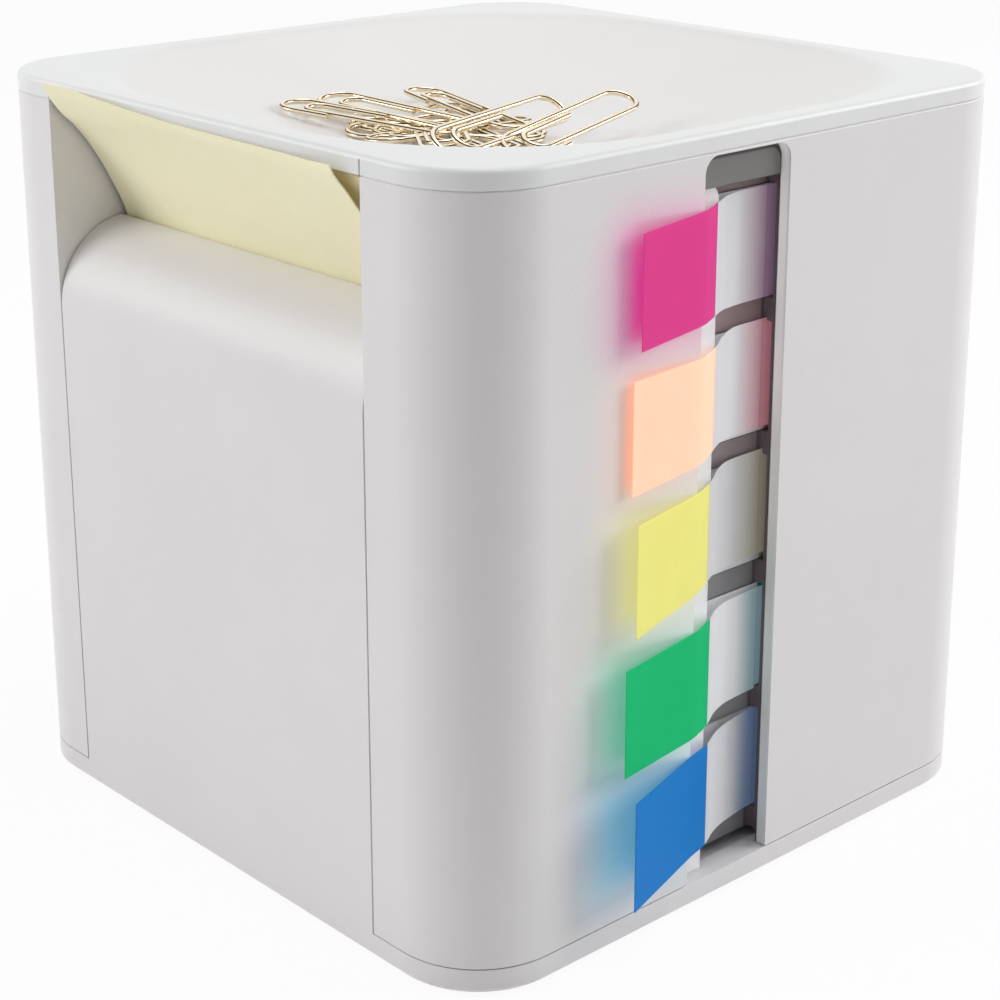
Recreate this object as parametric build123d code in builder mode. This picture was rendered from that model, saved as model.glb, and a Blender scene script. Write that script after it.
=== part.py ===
"""Desk dispenser for sticky notes and film flags, with a paper clip dish in its lid.

Millimetres. Z is up and the underside's centre is the origin. The note window faces -Y and the
flag slot faces +X. A cover lifts straight off the base unit, because the window and the slot are
both open at the bottom. The base unit carries the front panel, the note magazine with its sprung
pressure plate, and the flag cassette.
"""
import math
import os

from build123d import *

os.makedirs("parts", exist_ok=True)

# Body: a 76 mm note sets the scale of the whole box
note_size = 76.0
body_width = 124.0
body_depth = 124.0
body_height = 127.2
corner_radius = 15.5
wall = 2.2
fit_gap = 0.3
seam_gap = 0.2
thread_gap = 0.03

# Base tray
pad_proud = 0.4
rim_top = 4.6
floor_top = 3.8
base_edge_chamfer = 0.9
upstand_height = 8.0
upstand_wall = 1.8

# Front panel, its rounded top and the note window
window_width = 80.8
window_offset = -0.9
barrel_radius = 14.0
window_drop = 24.2
lip_radius = 1.5
lip_depth = 19.0
rib_thickness = 1.8
rib_count = 4
jamb_thickness = 1.8
jamb_depth = 16.0

# Lid and dish
lid_thickness = 3.1
lid_edge_chamfer = 0.7
seam_chamfer = 0.25
rim_width = 5.0
mouth_roundness = 0.684
dish_depth = 13.0
dish_shares = [1.0, 0.84, 0.64, 0.386]
dish_wall = 2.3
skirt_depth = 2.4
skirt_wall = 1.6
ledge_width = 3.0
ledge_thickness = 2.4
slit_width = 0.35
slit_depth = 1.0

# Magnet under the dish
magnet_radius = 10.0
magnet_thickness = 2.9
magnet_ceiling = 1.6
magnet_wall = 2.8
cap_thickness = 1.0

# Flag slot
slot_left = -15.5
slot_right = 3.4
slot_bridge = 0.5
slot_corner = 2.7

# Film flags and their cassette
flag_colours = ["pink", "peach", "yellow", "green", "blue"]
flag_height = 18.0
flag_length = 45.0
flag_drop = 11.3
flag_floor = 9.5
film = 0.2
flag_bend_radii = (12.0, 8.0)
flag_tip_lifts = [2.4, 1.4, 3.6, 4.0, 7.0]
flag_tip_reaches = [15.2, 15.8, 16.6, 18.8, 19.2]
flag_pad_thickness = 4.0
divider_set_back = 1.4
cassette_wall = 1.5
cassette_depth = 8.5
cassette_front = -20.0
cheek_start = 5.5
guard_edge = -9.7
guard_rise = 3.1
guard_thickness = 0.6
guard_corner = 3.0

# Note magazine, pad and the note that stands out
pad_thickness = 12.0
magazine_depth = 62.2
magazine_wall = 1.3
magazine_top = 80.0
shelf_top = 16.0
shelf_plate = 2.0
bulkhead = 2.5
paper = 0.2
note_offset = -1.2
note_rise = 7.6
note_drop = 0.1
note_reach = 4.2
note_radii = [8.0, 12.0, 6.0]

# Pressure plate, rod and spring
plate_thickness = 2.4
plate_height = 67.0
plate_rib = 4.0
rod_radius = 2.0
rod_height = 50.0
rod_fit = 0.06
rod_spare = 1.0
rod_tip = 2.9
socket_radius = 4.5
socket_length = 6.0
clip_ring_radius = 4.2
clip_ring_thickness = 0.8
groove_depth = 0.4
spring_radius = 3.6
spring_wire = 0.8
spring_turns = 5

# Ballast and screws
ballast_width = 52.0
ballast_depth = 34.0
ballast_height = 6.0
base_screw_radius = 1.5
base_screw_length = 8.0
base_head_radius = 2.8
base_head_height = 1.4
base_screw_inset = 7.0
magazine_screw_half = 33.0
cassette_screw_insets = (10.0, 17.0)
boss_radius = 3.9
lid_screw_radius = 1.3
lid_screw_length = 6.0
lid_head_radius = 2.4
lid_head_height = 1.6
lid_screw_inset = 11.5
gusset_radius = 6.5
clearance_hole = 0.2

# Paper clips
clip_length = 33.0
clip_width = 8.0
clip_wire = 0.8
clip_step = 1.1
clip_clearance = 0.1

# Places that follow from the sizes above
front_y = -body_depth / 2
side_x = body_width / 2
seam_z = body_height - lid_thickness
shell_z = rim_top + seam_gap
inner_half_x = side_x - wall
inner_half_y = body_depth / 2 - wall
inner_corner = corner_radius - wall
window_left = window_offset - window_width / 2
window_right = window_offset + window_width / 2
ledge_z = seam_z - skirt_depth - ledge_thickness - 0.1
barrel_top = body_height - window_drop
barrel_z = barrel_top - barrel_radius
lip_y = front_y + barrel_radius
panel_width = window_width - 2 * fit_gap
magazine_front = lip_y + fit_gap
magazine_back = magazine_front + magazine_depth
pad_front = magazine_front + 2 * paper
pad_back = pad_front + pad_thickness
plate_front = pad_back + fit_gap
socket_end = plate_front + plate_thickness + socket_length
bulkhead_front = magazine_back - bulkhead
cassette_right = inner_half_x - 0.8
cassette_left = cassette_right - cassette_depth
flag_pad_start = cassette_front + cassette_wall + fit_gap
flag_pad_end = flag_pad_start + flag_length
cassette_back = flag_pad_end + fit_gap + cassette_wall
flag_top = body_height - flag_drop
flag_pitch = (flag_top - flag_height - flag_floor) / (len(flag_colours) - 1)
guard_top = flag_top + guard_rise
cassette_top = flag_top + 2 * fit_gap + cassette_wall + 0.8
recess_top = pad_proud + 0.8
screw_x = [window_offset + sign * magazine_screw_half for sign in (-1, 1)]
screw_y = [magazine_front + 1.4 * base_screw_inset, bulkhead_front - base_screw_inset]
cassette_screw_x = cassette_left - boss_radius + 1.0
cassette_screw_y = [
    cassette_front + cassette_screw_insets[0],
    cassette_back - cassette_screw_insets[1],
]
base_screw_places = [(x, y) for x in screw_x for y in screw_y]
base_screw_places += [(cassette_screw_x, y) for y in cassette_screw_y]
rod_x = window_offset
lid_screw_y = body_depth / 2 - lid_screw_inset
front_screw_x = (window_right - window_offset + 1 + jamb_thickness + inner_half_x) / 2
rear_screw_x = cassette_left - gusset_radius
lid_screw_places = [(sign * front_screw_x, -lid_screw_y) for sign in (-1, 1)]
lid_screw_places += [(sign * rear_screw_x, lid_screw_y) for sign in (-1, 1)]
mouth_half = side_x - rim_width
mouth_corner = mouth_roundness * mouth_half
dish_stages = [share * mouth_half for share in dish_shares]


def save(part, name):
    """Label one finished piece and write its STEP file."""
    part.label = name
    export_step(part, f"parts/{name}.step")


def block(low, high, mode=Mode.ADD):
    """A box between two opposite corners, added to the part being built."""
    size = [b - a for a, b in zip(low, high)]
    middle = tuple((a + b) / 2 for a, b in zip(low, high))
    with Locations(middle):
        Box(*size, mode=mode)


# Cover shell: a rounded square tube with the note window and the flag slot
with BuildPart() as cover_shell:
    with BuildSketch(Plane.XY.offset(shell_z)):
        RectangleRounded(body_width, body_depth, corner_radius)
        RectangleRounded(2 * inner_half_x, 2 * inner_half_y, inner_corner, mode=Mode.SUBTRACT)
    extrude(amount=seam_z - shell_z)
    top_edges = cover_shell.faces().sort_by(Axis.Z)[-1].outer_wire().edges()
    chamfer(top_edges, seam_chamfer)
    block(
        (window_left, front_y - 1, shell_z - 1),
        (window_right, front_y + wall + 1, seam_z + 1),
        mode=Mode.SUBTRACT,
    )
    with BuildSketch(Plane.YZ.offset(inner_half_x - 0.5)) as slot_outline:
        slot_top = seam_z - slot_bridge
        with Locations(((slot_left + slot_right) / 2, (slot_top + shell_z - 1) / 2)):
            Rectangle(slot_right - slot_left, slot_top - shell_z + 1)
        fillet(slot_outline.vertices().group_by(Axis.Y)[-1], slot_corner)
    extrude(amount=wall + 1, mode=Mode.SUBTRACT)
    # Inner ledge that the lid's skirt sits on, with screw gussets in the corners
    with BuildSketch(Plane.XY.offset(ledge_z)):
        RectangleRounded(2 * inner_half_x, 2 * inner_half_y, inner_corner)
        RectangleRounded(
            2 * (inner_half_x - ledge_width),
            2 * (inner_half_y - ledge_width),
            inner_corner - ledge_width,
            mode=Mode.SUBTRACT,
        )
        with Locations(*lid_screw_places):
            Circle(gusset_radius)
        with Locations(*lid_screw_places):
            Circle(lid_screw_radius + clearance_hole, mode=Mode.SUBTRACT)
        with Locations((window_offset, front_y + wall + ledge_width / 2)):
            Rectangle(window_width + 2 * jamb_thickness, ledge_width + 1, mode=Mode.SUBTRACT)
    extrude(amount=ledge_thickness)
    # Jamb flanges run back from the window's sides and close the view past the barrel
    for inner, outer in (
        (window_left, window_left - jamb_thickness),
        (window_right, window_right + jamb_thickness),
    ):
        low_x, high_x = min(inner, outer), max(inner, outer)
        flange_top = ledge_z + ledge_thickness
        block((low_x, front_y, shell_z), (high_x, front_y + jamb_depth, flange_top))
        block((low_x, front_y + seam_chamfer, ledge_z), (high_x, front_y + wall + 1.5, seam_z))
save(cover_shell.part, "cover_shell")


def ring_height(half):
    """Height of the dish surface where its rounded square section is this wide."""
    return body_height - dish_depth * (1 - (half / mouth_half) ** 2)


def dish_form(stages, growth, drop, mode=Mode.ADD):
    """The bowl's form: two crossing troughs, and a stepped quarter turn in each corner."""
    flat_x = mouth_half - mouth_corner
    flat_y = flat_x + (body_depth - body_width) / 2
    profile = [(half + growth - flat_x, ring_height(half) - drop) for half in stages]
    for plane, run, side in ((Plane.YZ, flat_x, flat_y), (Plane.XZ, flat_y, flat_x)):
        with BuildSketch(plane) as trough:
            right = [(side + radius, height) for radius, height in profile]
            left = [(-across, height) for across, height in reversed(right)]
            with BuildLine():
                Polyline(*right, *left, close=True)
            make_face()
        extrude(trough.sketch, amount=run, both=True, mode=mode)
    with BuildPart(mode=Mode.PRIVATE) as quarter:
        with BuildSketch(Plane.XZ):
            with BuildLine():
                Polyline((0, profile[0][1]), *profile, (0, profile[-1][1]), close=True)
            make_face()
        revolve(axis=Axis.Z, revolution_arc=90)
    for turn, (right, rear) in enumerate(((1, 1), (-1, 1), (-1, -1), (1, -1))):
        with Locations(Location((right * flat_x, rear * flat_y, 0), (0, 0, 90 * turn))):
            add(quarter.part, mode=mode)


# Lid with the clip dish: a flat rim round a shallow bowl, and a skirt that enters the shell
dish_floor_z = ring_height(dish_stages[-1])
pocket_top = dish_floor_z - magnet_ceiling
boss_bottom = pocket_top - magnet_thickness - 0.2
with BuildPart() as lid_tray:
    with BuildSketch(Plane.XY.offset(seam_z)):
        RectangleRounded(body_width, body_depth, corner_radius)
    extrude(amount=lid_thickness)
    chamfer(lid_tray.faces().sort_by(Axis.Z)[-1].edges(), lid_edge_chamfer)
    dish_form(dish_stages[:1] + dish_stages[2:], 0.6, dish_wall)
    with Locations((0, 0, (boss_bottom + dish_floor_z - 1) / 2)):
        Cylinder(magnet_radius + magnet_wall, dish_floor_z - 1 - boss_bottom)
    dish_form(dish_stages, 0, 0, mode=Mode.SUBTRACT)
    with Locations((0, 0, (boss_bottom + pocket_top) / 2)):
        Cylinder(magnet_radius + 0.15, pocket_top - boss_bottom, mode=Mode.SUBTRACT)
    with BuildSketch(Plane.XY.offset(seam_z - skirt_depth)):
        skirt_x = inner_half_x - seam_gap
        skirt_y = inner_half_y - seam_gap
        skirt_corner = inner_corner - seam_gap
        RectangleRounded(2 * skirt_x, 2 * skirt_y, skirt_corner)
        RectangleRounded(
            2 * (skirt_x - skirt_wall),
            2 * (skirt_y - skirt_wall),
            skirt_corner - skirt_wall,
            mode=Mode.SUBTRACT,
        )
        with Locations((window_offset, front_y + wall + skirt_wall / 2)):
            Rectangle(
                window_width + 2 * (jamb_thickness + fit_gap),
                skirt_wall + 2,
                mode=Mode.SUBTRACT,
            )
        with Locations(*lid_screw_places):
            Circle(lid_head_radius + 1)
    extrude(amount=skirt_depth)
    with BuildSketch(Plane.XY.offset(seam_z - skirt_depth)):
        with Locations(*lid_screw_places):
            Circle(lid_screw_radius + thread_gap)
    extrude(amount=skirt_depth + lid_thickness - 1.2, mode=Mode.SUBTRACT)
    for jamb in (window_left, window_right):
        block(
            (jamb - slit_width / 2, front_y - 1, seam_z - 1),
            (jamb + slit_width / 2, front_y + slit_depth, body_height - lid_edge_chamfer),
            mode=Mode.SUBTRACT,
        )
save(lid_tray.part, "lid_tray")

# Disc magnet in the boss under the dish floor, and the cap that keeps it there
magnet_top = pocket_top - 0.1
with BuildPart() as dish_magnet:
    with Locations((0, 0, magnet_top - magnet_thickness / 2)):
        Cylinder(magnet_radius, magnet_thickness)
save(dish_magnet.part, "dish_magnet")

with BuildPart() as magnet_cap:
    with Locations((0, 0, boss_bottom - cap_thickness / 2)):
        Cylinder(magnet_radius + magnet_wall, cap_thickness)
save(magnet_cap.part, "magnet_cap")


def pan_screw(radius, length, head_radius, head_height):
    """A plain screw pointing up, its seat at the origin, with few sides because it repeats."""
    with BuildPart() as screw:
        with BuildSketch():
            RegularPolygon(radius, 10)
        extrude(amount=length)
        with BuildSketch():
            RegularPolygon(head_radius, 14)
        extrude(amount=-head_height)
    return screw.part


with BuildPart() as lid_screws:
    lid_screw = pan_screw(lid_screw_radius, lid_screw_length, lid_head_radius, lid_head_height)
    with Locations(*[(x, y, ledge_z) for x, y in lid_screw_places]):
        add(lid_screw)
save(lid_screws.part, "lid_screws")


def wire_clip():
    """A paper clip of three nested bends, lying flat along X."""
    outer = clip_width / 2
    middle = outer - 0.7
    inner = outer - 1.5
    right = clip_length / 2 - outer
    left = -clip_length / 2 + middle
    with BuildPart() as clip:
        with BuildLine() as wire:
            Line((-5, outer), (right, outer))
            CenterArc((right, 0), outer, 90, -180)
            Line((right, -outer), (left, -outer))
            CenterArc((left, middle - outer), middle, 270, -180)
            Line((left, 2 * middle - outer), (right - 3, 2 * middle - outer))
            CenterArc((right - 3, 2 * middle - outer - inner), inner, 90, -180)
            Line(
                (right - 3, 2 * middle - outer - 2 * inner),
                (-4, 2 * middle - outer - 2 * inner),
            )
        with BuildSketch(Plane(origin=wire.line @ 0, z_dir=wire.line % 0)):
            Rectangle(clip_wire, clip_wire)
        sweep()
    return clip.part


# Paper clips in the dish, lying across each other in layers
clip_places = [(-1.0, -2.0, 12), (1.5, 1.0, 68), (-1.0, 0.0, 128)]
clip_floor = dish_floor_z + clip_wire / 2 + clip_clearance
with BuildPart() as paper_clips:
    one_clip = wire_clip()
    for layer, (clip_x, clip_y, turn) in enumerate(clip_places):
        height = clip_floor + layer * clip_step
        with Locations(Location((clip_x, clip_y, height), (0, 0, turn))):
            add(one_clip)
save(paper_clips.part, "paper_clips")

# Base tray: floor, rim, upstand and front panel in one moulding
with BuildPart() as base_tray:
    with BuildSketch(Plane.XY.offset(pad_proud)):
        RectangleRounded(body_width, body_depth, corner_radius)
    extrude(amount=rim_top - pad_proud)
    chamfer(base_tray.faces().sort_by(Axis.Z)[0].edges(), base_edge_chamfer)
    upstand_x = inner_half_x - fit_gap
    upstand_y = inner_half_y - fit_gap
    upstand_corner = inner_corner - fit_gap
    with BuildSketch(Plane.XY.offset(floor_top)):
        RectangleRounded(
            2 * (upstand_x - upstand_wall),
            2 * (upstand_y - upstand_wall),
            upstand_corner - upstand_wall,
        )
    extrude(amount=rim_top, mode=Mode.SUBTRACT)
    with BuildSketch(Plane.XY.offset(rim_top)):
        RectangleRounded(2 * upstand_x, 2 * upstand_y, upstand_corner)
        RectangleRounded(
            2 * (upstand_x - upstand_wall),
            2 * (upstand_y - upstand_wall),
            upstand_corner - upstand_wall,
            mode=Mode.SUBTRACT,
        )
        with Locations((window_offset, front_y + wall + upstand_wall)):
            Rectangle(
                window_width + 2 * (jamb_thickness + fit_gap),
                2 * (upstand_wall + 1),
                mode=Mode.SUBTRACT,
            )
        with Locations((side_x, (cassette_front + cassette_back) / 2)):
            Rectangle(
                2 * (wall + upstand_wall + 1),
                cassette_back - cassette_front + 2 * fit_gap,
                mode=Mode.SUBTRACT,
            )
    extrude(amount=upstand_height)
    # Front panel: a wall that rolls over the barrel and turns down into a lip
    with BuildSketch(Plane.YZ.offset(window_offset)) as panel_outline:
        with BuildLine():
            Line((front_y, floor_top), (front_y, barrel_z))
            CenterArc((lip_y, barrel_z), barrel_radius, 180, -90)
            Line((lip_y, barrel_top), (lip_y, barrel_top - lip_depth))
            Line((lip_y, barrel_top - lip_depth), (lip_y - wall, barrel_top - lip_depth))
            inner_radius = barrel_radius - wall
            Line((lip_y - wall, barrel_top - lip_depth), (lip_y - wall, barrel_z + inner_radius))
            ThreePointArc(
                (lip_y - wall, barrel_z + inner_radius),
                (lip_y - inner_radius * math.sin(math.radians(50)),
                 barrel_z + inner_radius * math.cos(math.radians(50))),
                (front_y + wall, barrel_z),
            )
            Line((front_y + wall, barrel_z), (front_y + wall, floor_top))
            Line((front_y + wall, floor_top), (front_y, floor_top))
        make_face()
        lip_corner = panel_outline.vertices().sort_by_distance((lip_y, barrel_top))[0]
        fillet(lip_corner, lip_radius)
    extrude(amount=panel_width / 2, both=True)
    # Ribs inside the barrel; the two outer ones close its ends
    with BuildSketch(Plane.YZ) as rib_outline:
        with BuildLine():
            Line((front_y, floor_top), (front_y, barrel_z))
            CenterArc((lip_y, barrel_z), barrel_radius, 180, -90)
            Line((lip_y, barrel_top), (lip_y, floor_top))
            Line((lip_y, floor_top), (front_y, floor_top))
        make_face()
        rib_corner = rib_outline.vertices().sort_by_distance((lip_y, barrel_top))[0]
        fillet(rib_corner, lip_radius)
    rib_span = panel_width - rib_thickness
    rib_shift = [rib_span * (n / (rib_count - 1) - 0.5) for n in range(rib_count)]
    rib_face = rib_outline.sketch
    for shift in rib_shift:
        with Locations((window_offset + shift, 0, 0)):
            add(extrude(rib_face, amount=rib_thickness / 2, both=True, mode=Mode.PRIVATE))
    # Locating frame round the ballast
    with BuildSketch(Plane.XY.offset(floor_top)):
        ballast_y = (screw_y[0] + screw_y[1]) / 2
        with Locations((window_offset, ballast_y)):
            Rectangle(ballast_width + 3, ballast_depth + 3)
            Rectangle(ballast_width + 0.6, ballast_depth + 0.6, mode=Mode.SUBTRACT)
    extrude(amount=2.5)
    # Recess for the pad below, and the screw holes with their counterbores
    pad_half_x = side_x - corner_radius + 1
    pad_half_y = body_depth / 2 - corner_radius + 1
    with BuildSketch(Plane.XY.offset(pad_proud)):
        RectangleRounded(2 * pad_half_x + 0.6, 2 * pad_half_y + 0.6, 6.3)
    extrude(amount=recess_top - pad_proud, mode=Mode.SUBTRACT)
    with BuildSketch(Plane.XY.offset(recess_top)):
        with Locations(*base_screw_places):
            Circle(base_head_radius + clearance_hole)
    extrude(amount=base_head_height + 0.1, mode=Mode.SUBTRACT)
    with BuildSketch(Plane.XY.offset(recess_top)):
        with Locations(*base_screw_places):
            Circle(base_screw_radius + clearance_hole)
    extrude(amount=floor_top, mode=Mode.SUBTRACT)
save(base_tray.part, "base_tray")

# Antislip sheet stuck in the recess under the base, over the screw heads
with BuildPart() as antislip_pad:
    with BuildSketch():
        RectangleRounded(2 * pad_half_x, 2 * pad_half_y, 6.0)
    extrude(amount=recess_top)
save(antislip_pad.part, "antislip_pad")

# Steel ballast between the base floor and the magazine's shelf
with BuildPart() as ballast_plate:
    with BuildSketch(Plane.XY.offset(floor_top)):
        with Locations((window_offset, ballast_y)):
            RectangleRounded(ballast_width, ballast_depth, 2.0)
    extrude(amount=ballast_height)
    chamfer(ballast_plate.faces().sort_by(Axis.Z)[-1].edges(), 0.6)
save(ballast_plate.part, "ballast_plate")

with BuildPart() as base_screws:
    base_screw = pan_screw(
        base_screw_radius, base_screw_length, base_head_radius, base_head_height
    )
    with Locations((0, 0, recess_top + base_head_height + 0.1)):
        with Locations(*[(x, y, 0) for x, y in base_screw_places]):
            add(base_screw)
save(base_screws.part, "base_screws")

# Note magazine: side walls, bulkhead and a raised shelf, screwed down through four bosses
inner_width = panel_width - 2 * magazine_wall
with BuildPart() as note_magazine:
    block(
        (window_offset - panel_width / 2, magazine_front, floor_top),
        (window_offset + panel_width / 2, magazine_back, magazine_top),
    )
    block(
        (window_offset - inner_width / 2, magazine_front - 1, shelf_top),
        (window_offset + inner_width / 2, bulkhead_front, magazine_top + 1),
        mode=Mode.SUBTRACT,
    )
    block(
        (window_offset - inner_width / 2, magazine_front - 1, floor_top - 1),
        (window_offset + inner_width / 2, bulkhead_front, shelf_top - shelf_plate),
        mode=Mode.SUBTRACT,
    )
    with BuildSketch(Plane.XY.offset(floor_top)):
        with Locations(*[(x, y) for x in screw_x for y in screw_y]):
            Circle(boss_radius)
    extrude(amount=shelf_top - shelf_plate - floor_top)
    with BuildSketch(Plane.XY.offset(floor_top)):
        with Locations(*[(x, y) for x in screw_x for y in screw_y]):
            Circle(base_screw_radius + thread_gap)
    extrude(amount=base_screw_length, mode=Mode.SUBTRACT)
    # Two short ribs under the shelf hold the ballast down
    hold_height = shelf_top - shelf_plate - floor_top - ballast_height - 0.1
    for shift in (-ballast_width / 4, ballast_width / 4):
        rib_x = window_offset + shift
        block(
            (rib_x - 0.8, ballast_y - ballast_depth / 3, shelf_top - shelf_plate - hold_height),
            (rib_x + 0.8, ballast_y + ballast_depth / 3, shelf_top - shelf_plate),
        )
    with BuildSketch(Plane.XZ.offset(-magazine_back)):
        with Locations((rod_x, rod_height)):
            Circle(socket_radius)
    extrude(amount=-socket_length)
    with BuildSketch(Plane.XZ.offset(-bulkhead_front + 1)):
        with Locations((rod_x, rod_height)):
            Circle(rod_radius + rod_fit)
    extrude(amount=-(bulkhead + socket_length + 2), mode=Mode.SUBTRACT)
save(note_magazine.part, "note_magazine")

# Note pad, standing on the shelf between the barrel's ribs and the pressure plate
pad_x = note_size / 2
with BuildPart() as note_pad:
    block(
        (window_offset - pad_x, pad_front, shelf_top + 0.1),
        (window_offset + pad_x, pad_back, shelf_top + 0.1 + note_size),
    )
save(note_pad.part, "note_pad")

# The note that stands out: up the pad's face, over the lip and forward under the lid
note_y = (lip_y + pad_front) / 2 - paper / 2 + 0.1
note_corners = [
    (lip_y + 3.3 - barrel_radius * 0.473, barrel_top + note_rise),
    (front_y + 0.1, seam_z - 2.1),
    (front_y - note_reach, body_height - note_drop),
]
note_run = [(note_y, barrel_top - 0.6)] + note_corners
visible = sum(math.dist(a, b) for a, b in zip(note_run, note_run[1:]))
note_bottom = barrel_top - 0.6 - (note_size - visible)
with BuildPart() as popped_note:
    with BuildSketch(Plane.YZ.offset(note_offset)):
        with BuildLine():
            FilletPolyline((note_y, note_bottom), *note_run, radius=note_radii)
            offset(amount=paper, side=Side.LEFT)
        make_face()
    extrude(amount=note_size / 2, both=True)
save(popped_note.part, "popped_note")

# Pressure plate with stiffening ribs and a socket for its rod
plate_bottom = shelf_top + 0.4
plate_half = inner_width / 2 - 0.4
with BuildPart() as pusher_plate:
    block(
        (window_offset - plate_half, plate_front, plate_bottom),
        (window_offset + plate_half, plate_front + plate_thickness, plate_bottom + plate_height),
    )
    chamfer(pusher_plate.edges().group_by(Axis.Z)[-1].filter_by(Axis.X), 0.8)
    plate_back = plate_front + plate_thickness
    for side in (-1, 1):
        rib_x = window_offset + side * (plate_half - 3)
        block(
            (rib_x - 0.8, plate_back, plate_bottom + 2),
            (rib_x + 0.8, plate_back + plate_rib, plate_bottom + plate_height - 4),
        )
    for rib_z in (rod_height - 14, rod_height + 14):
        block(
            (window_offset - plate_half + 2, plate_back, rib_z - 0.8),
            (window_offset + plate_half - 2, plate_back + plate_rib, rib_z + 0.8),
        )
    with BuildSketch(Plane.XZ.offset(-plate_back)):
        with Locations((rod_x, rod_height)):
            Circle(socket_radius)
    extrude(amount=-socket_length)
    with BuildSketch(Plane.XZ.offset(-plate_front - 1)):
        with Locations((rod_x, rod_height)):
            Circle(rod_radius + thread_gap)
    extrude(amount=-(plate_thickness + socket_length), mode=Mode.SUBTRACT)
save(pusher_plate.part, "pusher_plate")

# Guide rod, pressed into the plate and sliding in the bulkhead, with a groove for its ring
rod_front = plate_front + 1.1
ring_y = magazine_back + socket_length + pad_thickness + rod_spare
with BuildPart() as guide_rod:
    with BuildSketch(Plane.XY.offset(rod_height)):
        groove_end = ring_y + clip_ring_thickness + 0.2
        with BuildLine():
            Polyline(
                (rod_x, rod_front),
                (rod_x + rod_radius, rod_front),
                (rod_x + rod_radius, ring_y),
                (rod_x + rod_radius - groove_depth, ring_y),
                (rod_x + rod_radius - groove_depth, groove_end),
                (rod_x + rod_radius, groove_end),
                (rod_x + rod_radius, ring_y + rod_tip),
                (rod_x, ring_y + rod_tip),
                close=True,
            )
        make_face()
    revolve(axis=Axis((rod_x, 0, rod_height), (0, 1, 0)))
save(guide_rod.part, "guide_rod")

with BuildPart() as rod_clip:
    with BuildSketch(Plane.XZ.offset(-(ring_y + 0.1))):
        with Locations((rod_x, rod_height)):
            Circle(clip_ring_radius)
            Circle(rod_radius - groove_depth + thread_gap, mode=Mode.SUBTRACT)
            with Locations((0, -clip_ring_radius / 2)):
                Rectangle(2.4, clip_ring_radius, mode=Mode.SUBTRACT)
    extrude(amount=-clip_ring_thickness)
save(rod_clip.part, "rod_clip")

# Compression spring round the rod, between the plate's socket and the bulkhead
spring_start = socket_end + spring_wire / 2 + 0.1
spring_length = bulkhead_front - spring_wire / 2 - 0.1 - spring_start
with BuildPart() as pusher_spring:
    with BuildLine(mode=Mode.PRIVATE) as coil:
        Helix(
            spring_length / spring_turns,
            spring_length,
            spring_radius,
            center=(rod_x, spring_start, rod_height),
            direction=(0, 1, 0),
        )
    with BuildSketch(Plane(origin=coil.line @ 0, z_dir=coil.line % 0)):
        RegularPolygon(spring_wire / 2, 4)
    sweep(path=coil.line, is_frenet=True)
save(pusher_spring.part, "pusher_spring")

# Flag cassette: an upright frame with a divider under each pad, open towards the slot
flag_bottoms = [flag_top - n * flag_pitch - flag_height for n in range(len(flag_colours))]
with BuildPart() as flag_cassette:
    block(
        (cassette_left, cassette_front, rim_top),
        (cassette_left + cassette_wall, cassette_back, cassette_top),
    )
    block(
        (cassette_left, cassette_front, rim_top),
        (cassette_right - 0.1, cassette_front + cassette_wall, cassette_top),
    )
    block(
        (cassette_left, cassette_back - cassette_wall, rim_top),
        (cassette_right, cassette_back, cassette_top),
    )
    block(
        (cassette_right - cassette_wall, cheek_start, rim_top),
        (cassette_right, cassette_back, cassette_top),
    )
    divider_x = cassette_right - cassette_wall - divider_set_back
    divider_height = flag_pitch - flag_height - 0.2
    divider_spans = [(bottom - 0.1 - divider_height, bottom - 0.1) for bottom in flag_bottoms]
    for low, high in divider_spans + [(flag_top + 0.1, cassette_top)]:
        block((cassette_left, cassette_front, low), (divider_x, cassette_back, high))
        block((cassette_left, cheek_start, low), (cassette_right, cassette_back, high))
    with BuildSketch(Plane.XY.offset(floor_top)):
        with Locations(*[(cassette_screw_x, y) for y in cassette_screw_y]):
            Circle(boss_radius)
    extrude(amount=base_screw_length + 1)
    with BuildSketch(Plane.XY.offset(floor_top)):
        with Locations(*[(cassette_screw_x, y) for y in cassette_screw_y]):
            Circle(base_screw_radius + thread_gap)
    extrude(amount=base_screw_length, mode=Mode.SUBTRACT)
save(flag_cassette.part, "flag_cassette")

# Clear strip in front of the cassette's edge; the flags are drawn over its rounded side
guard_x = cassette_right - 0.1
with BuildPart() as flag_guard:
    with BuildSketch(Plane.YZ.offset(guard_x)) as guard_outline:
        with Locations(((cassette_front + guard_edge) / 2, (rim_top + 0.1 + guard_top) / 2)):
            Rectangle(guard_edge - cassette_front, guard_top - rim_top - 0.1)
        top_corner = guard_outline.vertices().group_by(Axis.Y)[-1].sort_by(Axis.X)[-1]
        fillet(top_corner, guard_corner)
    extrude(amount=guard_thickness)
save(flag_guard.part, "flag_guard")

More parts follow.
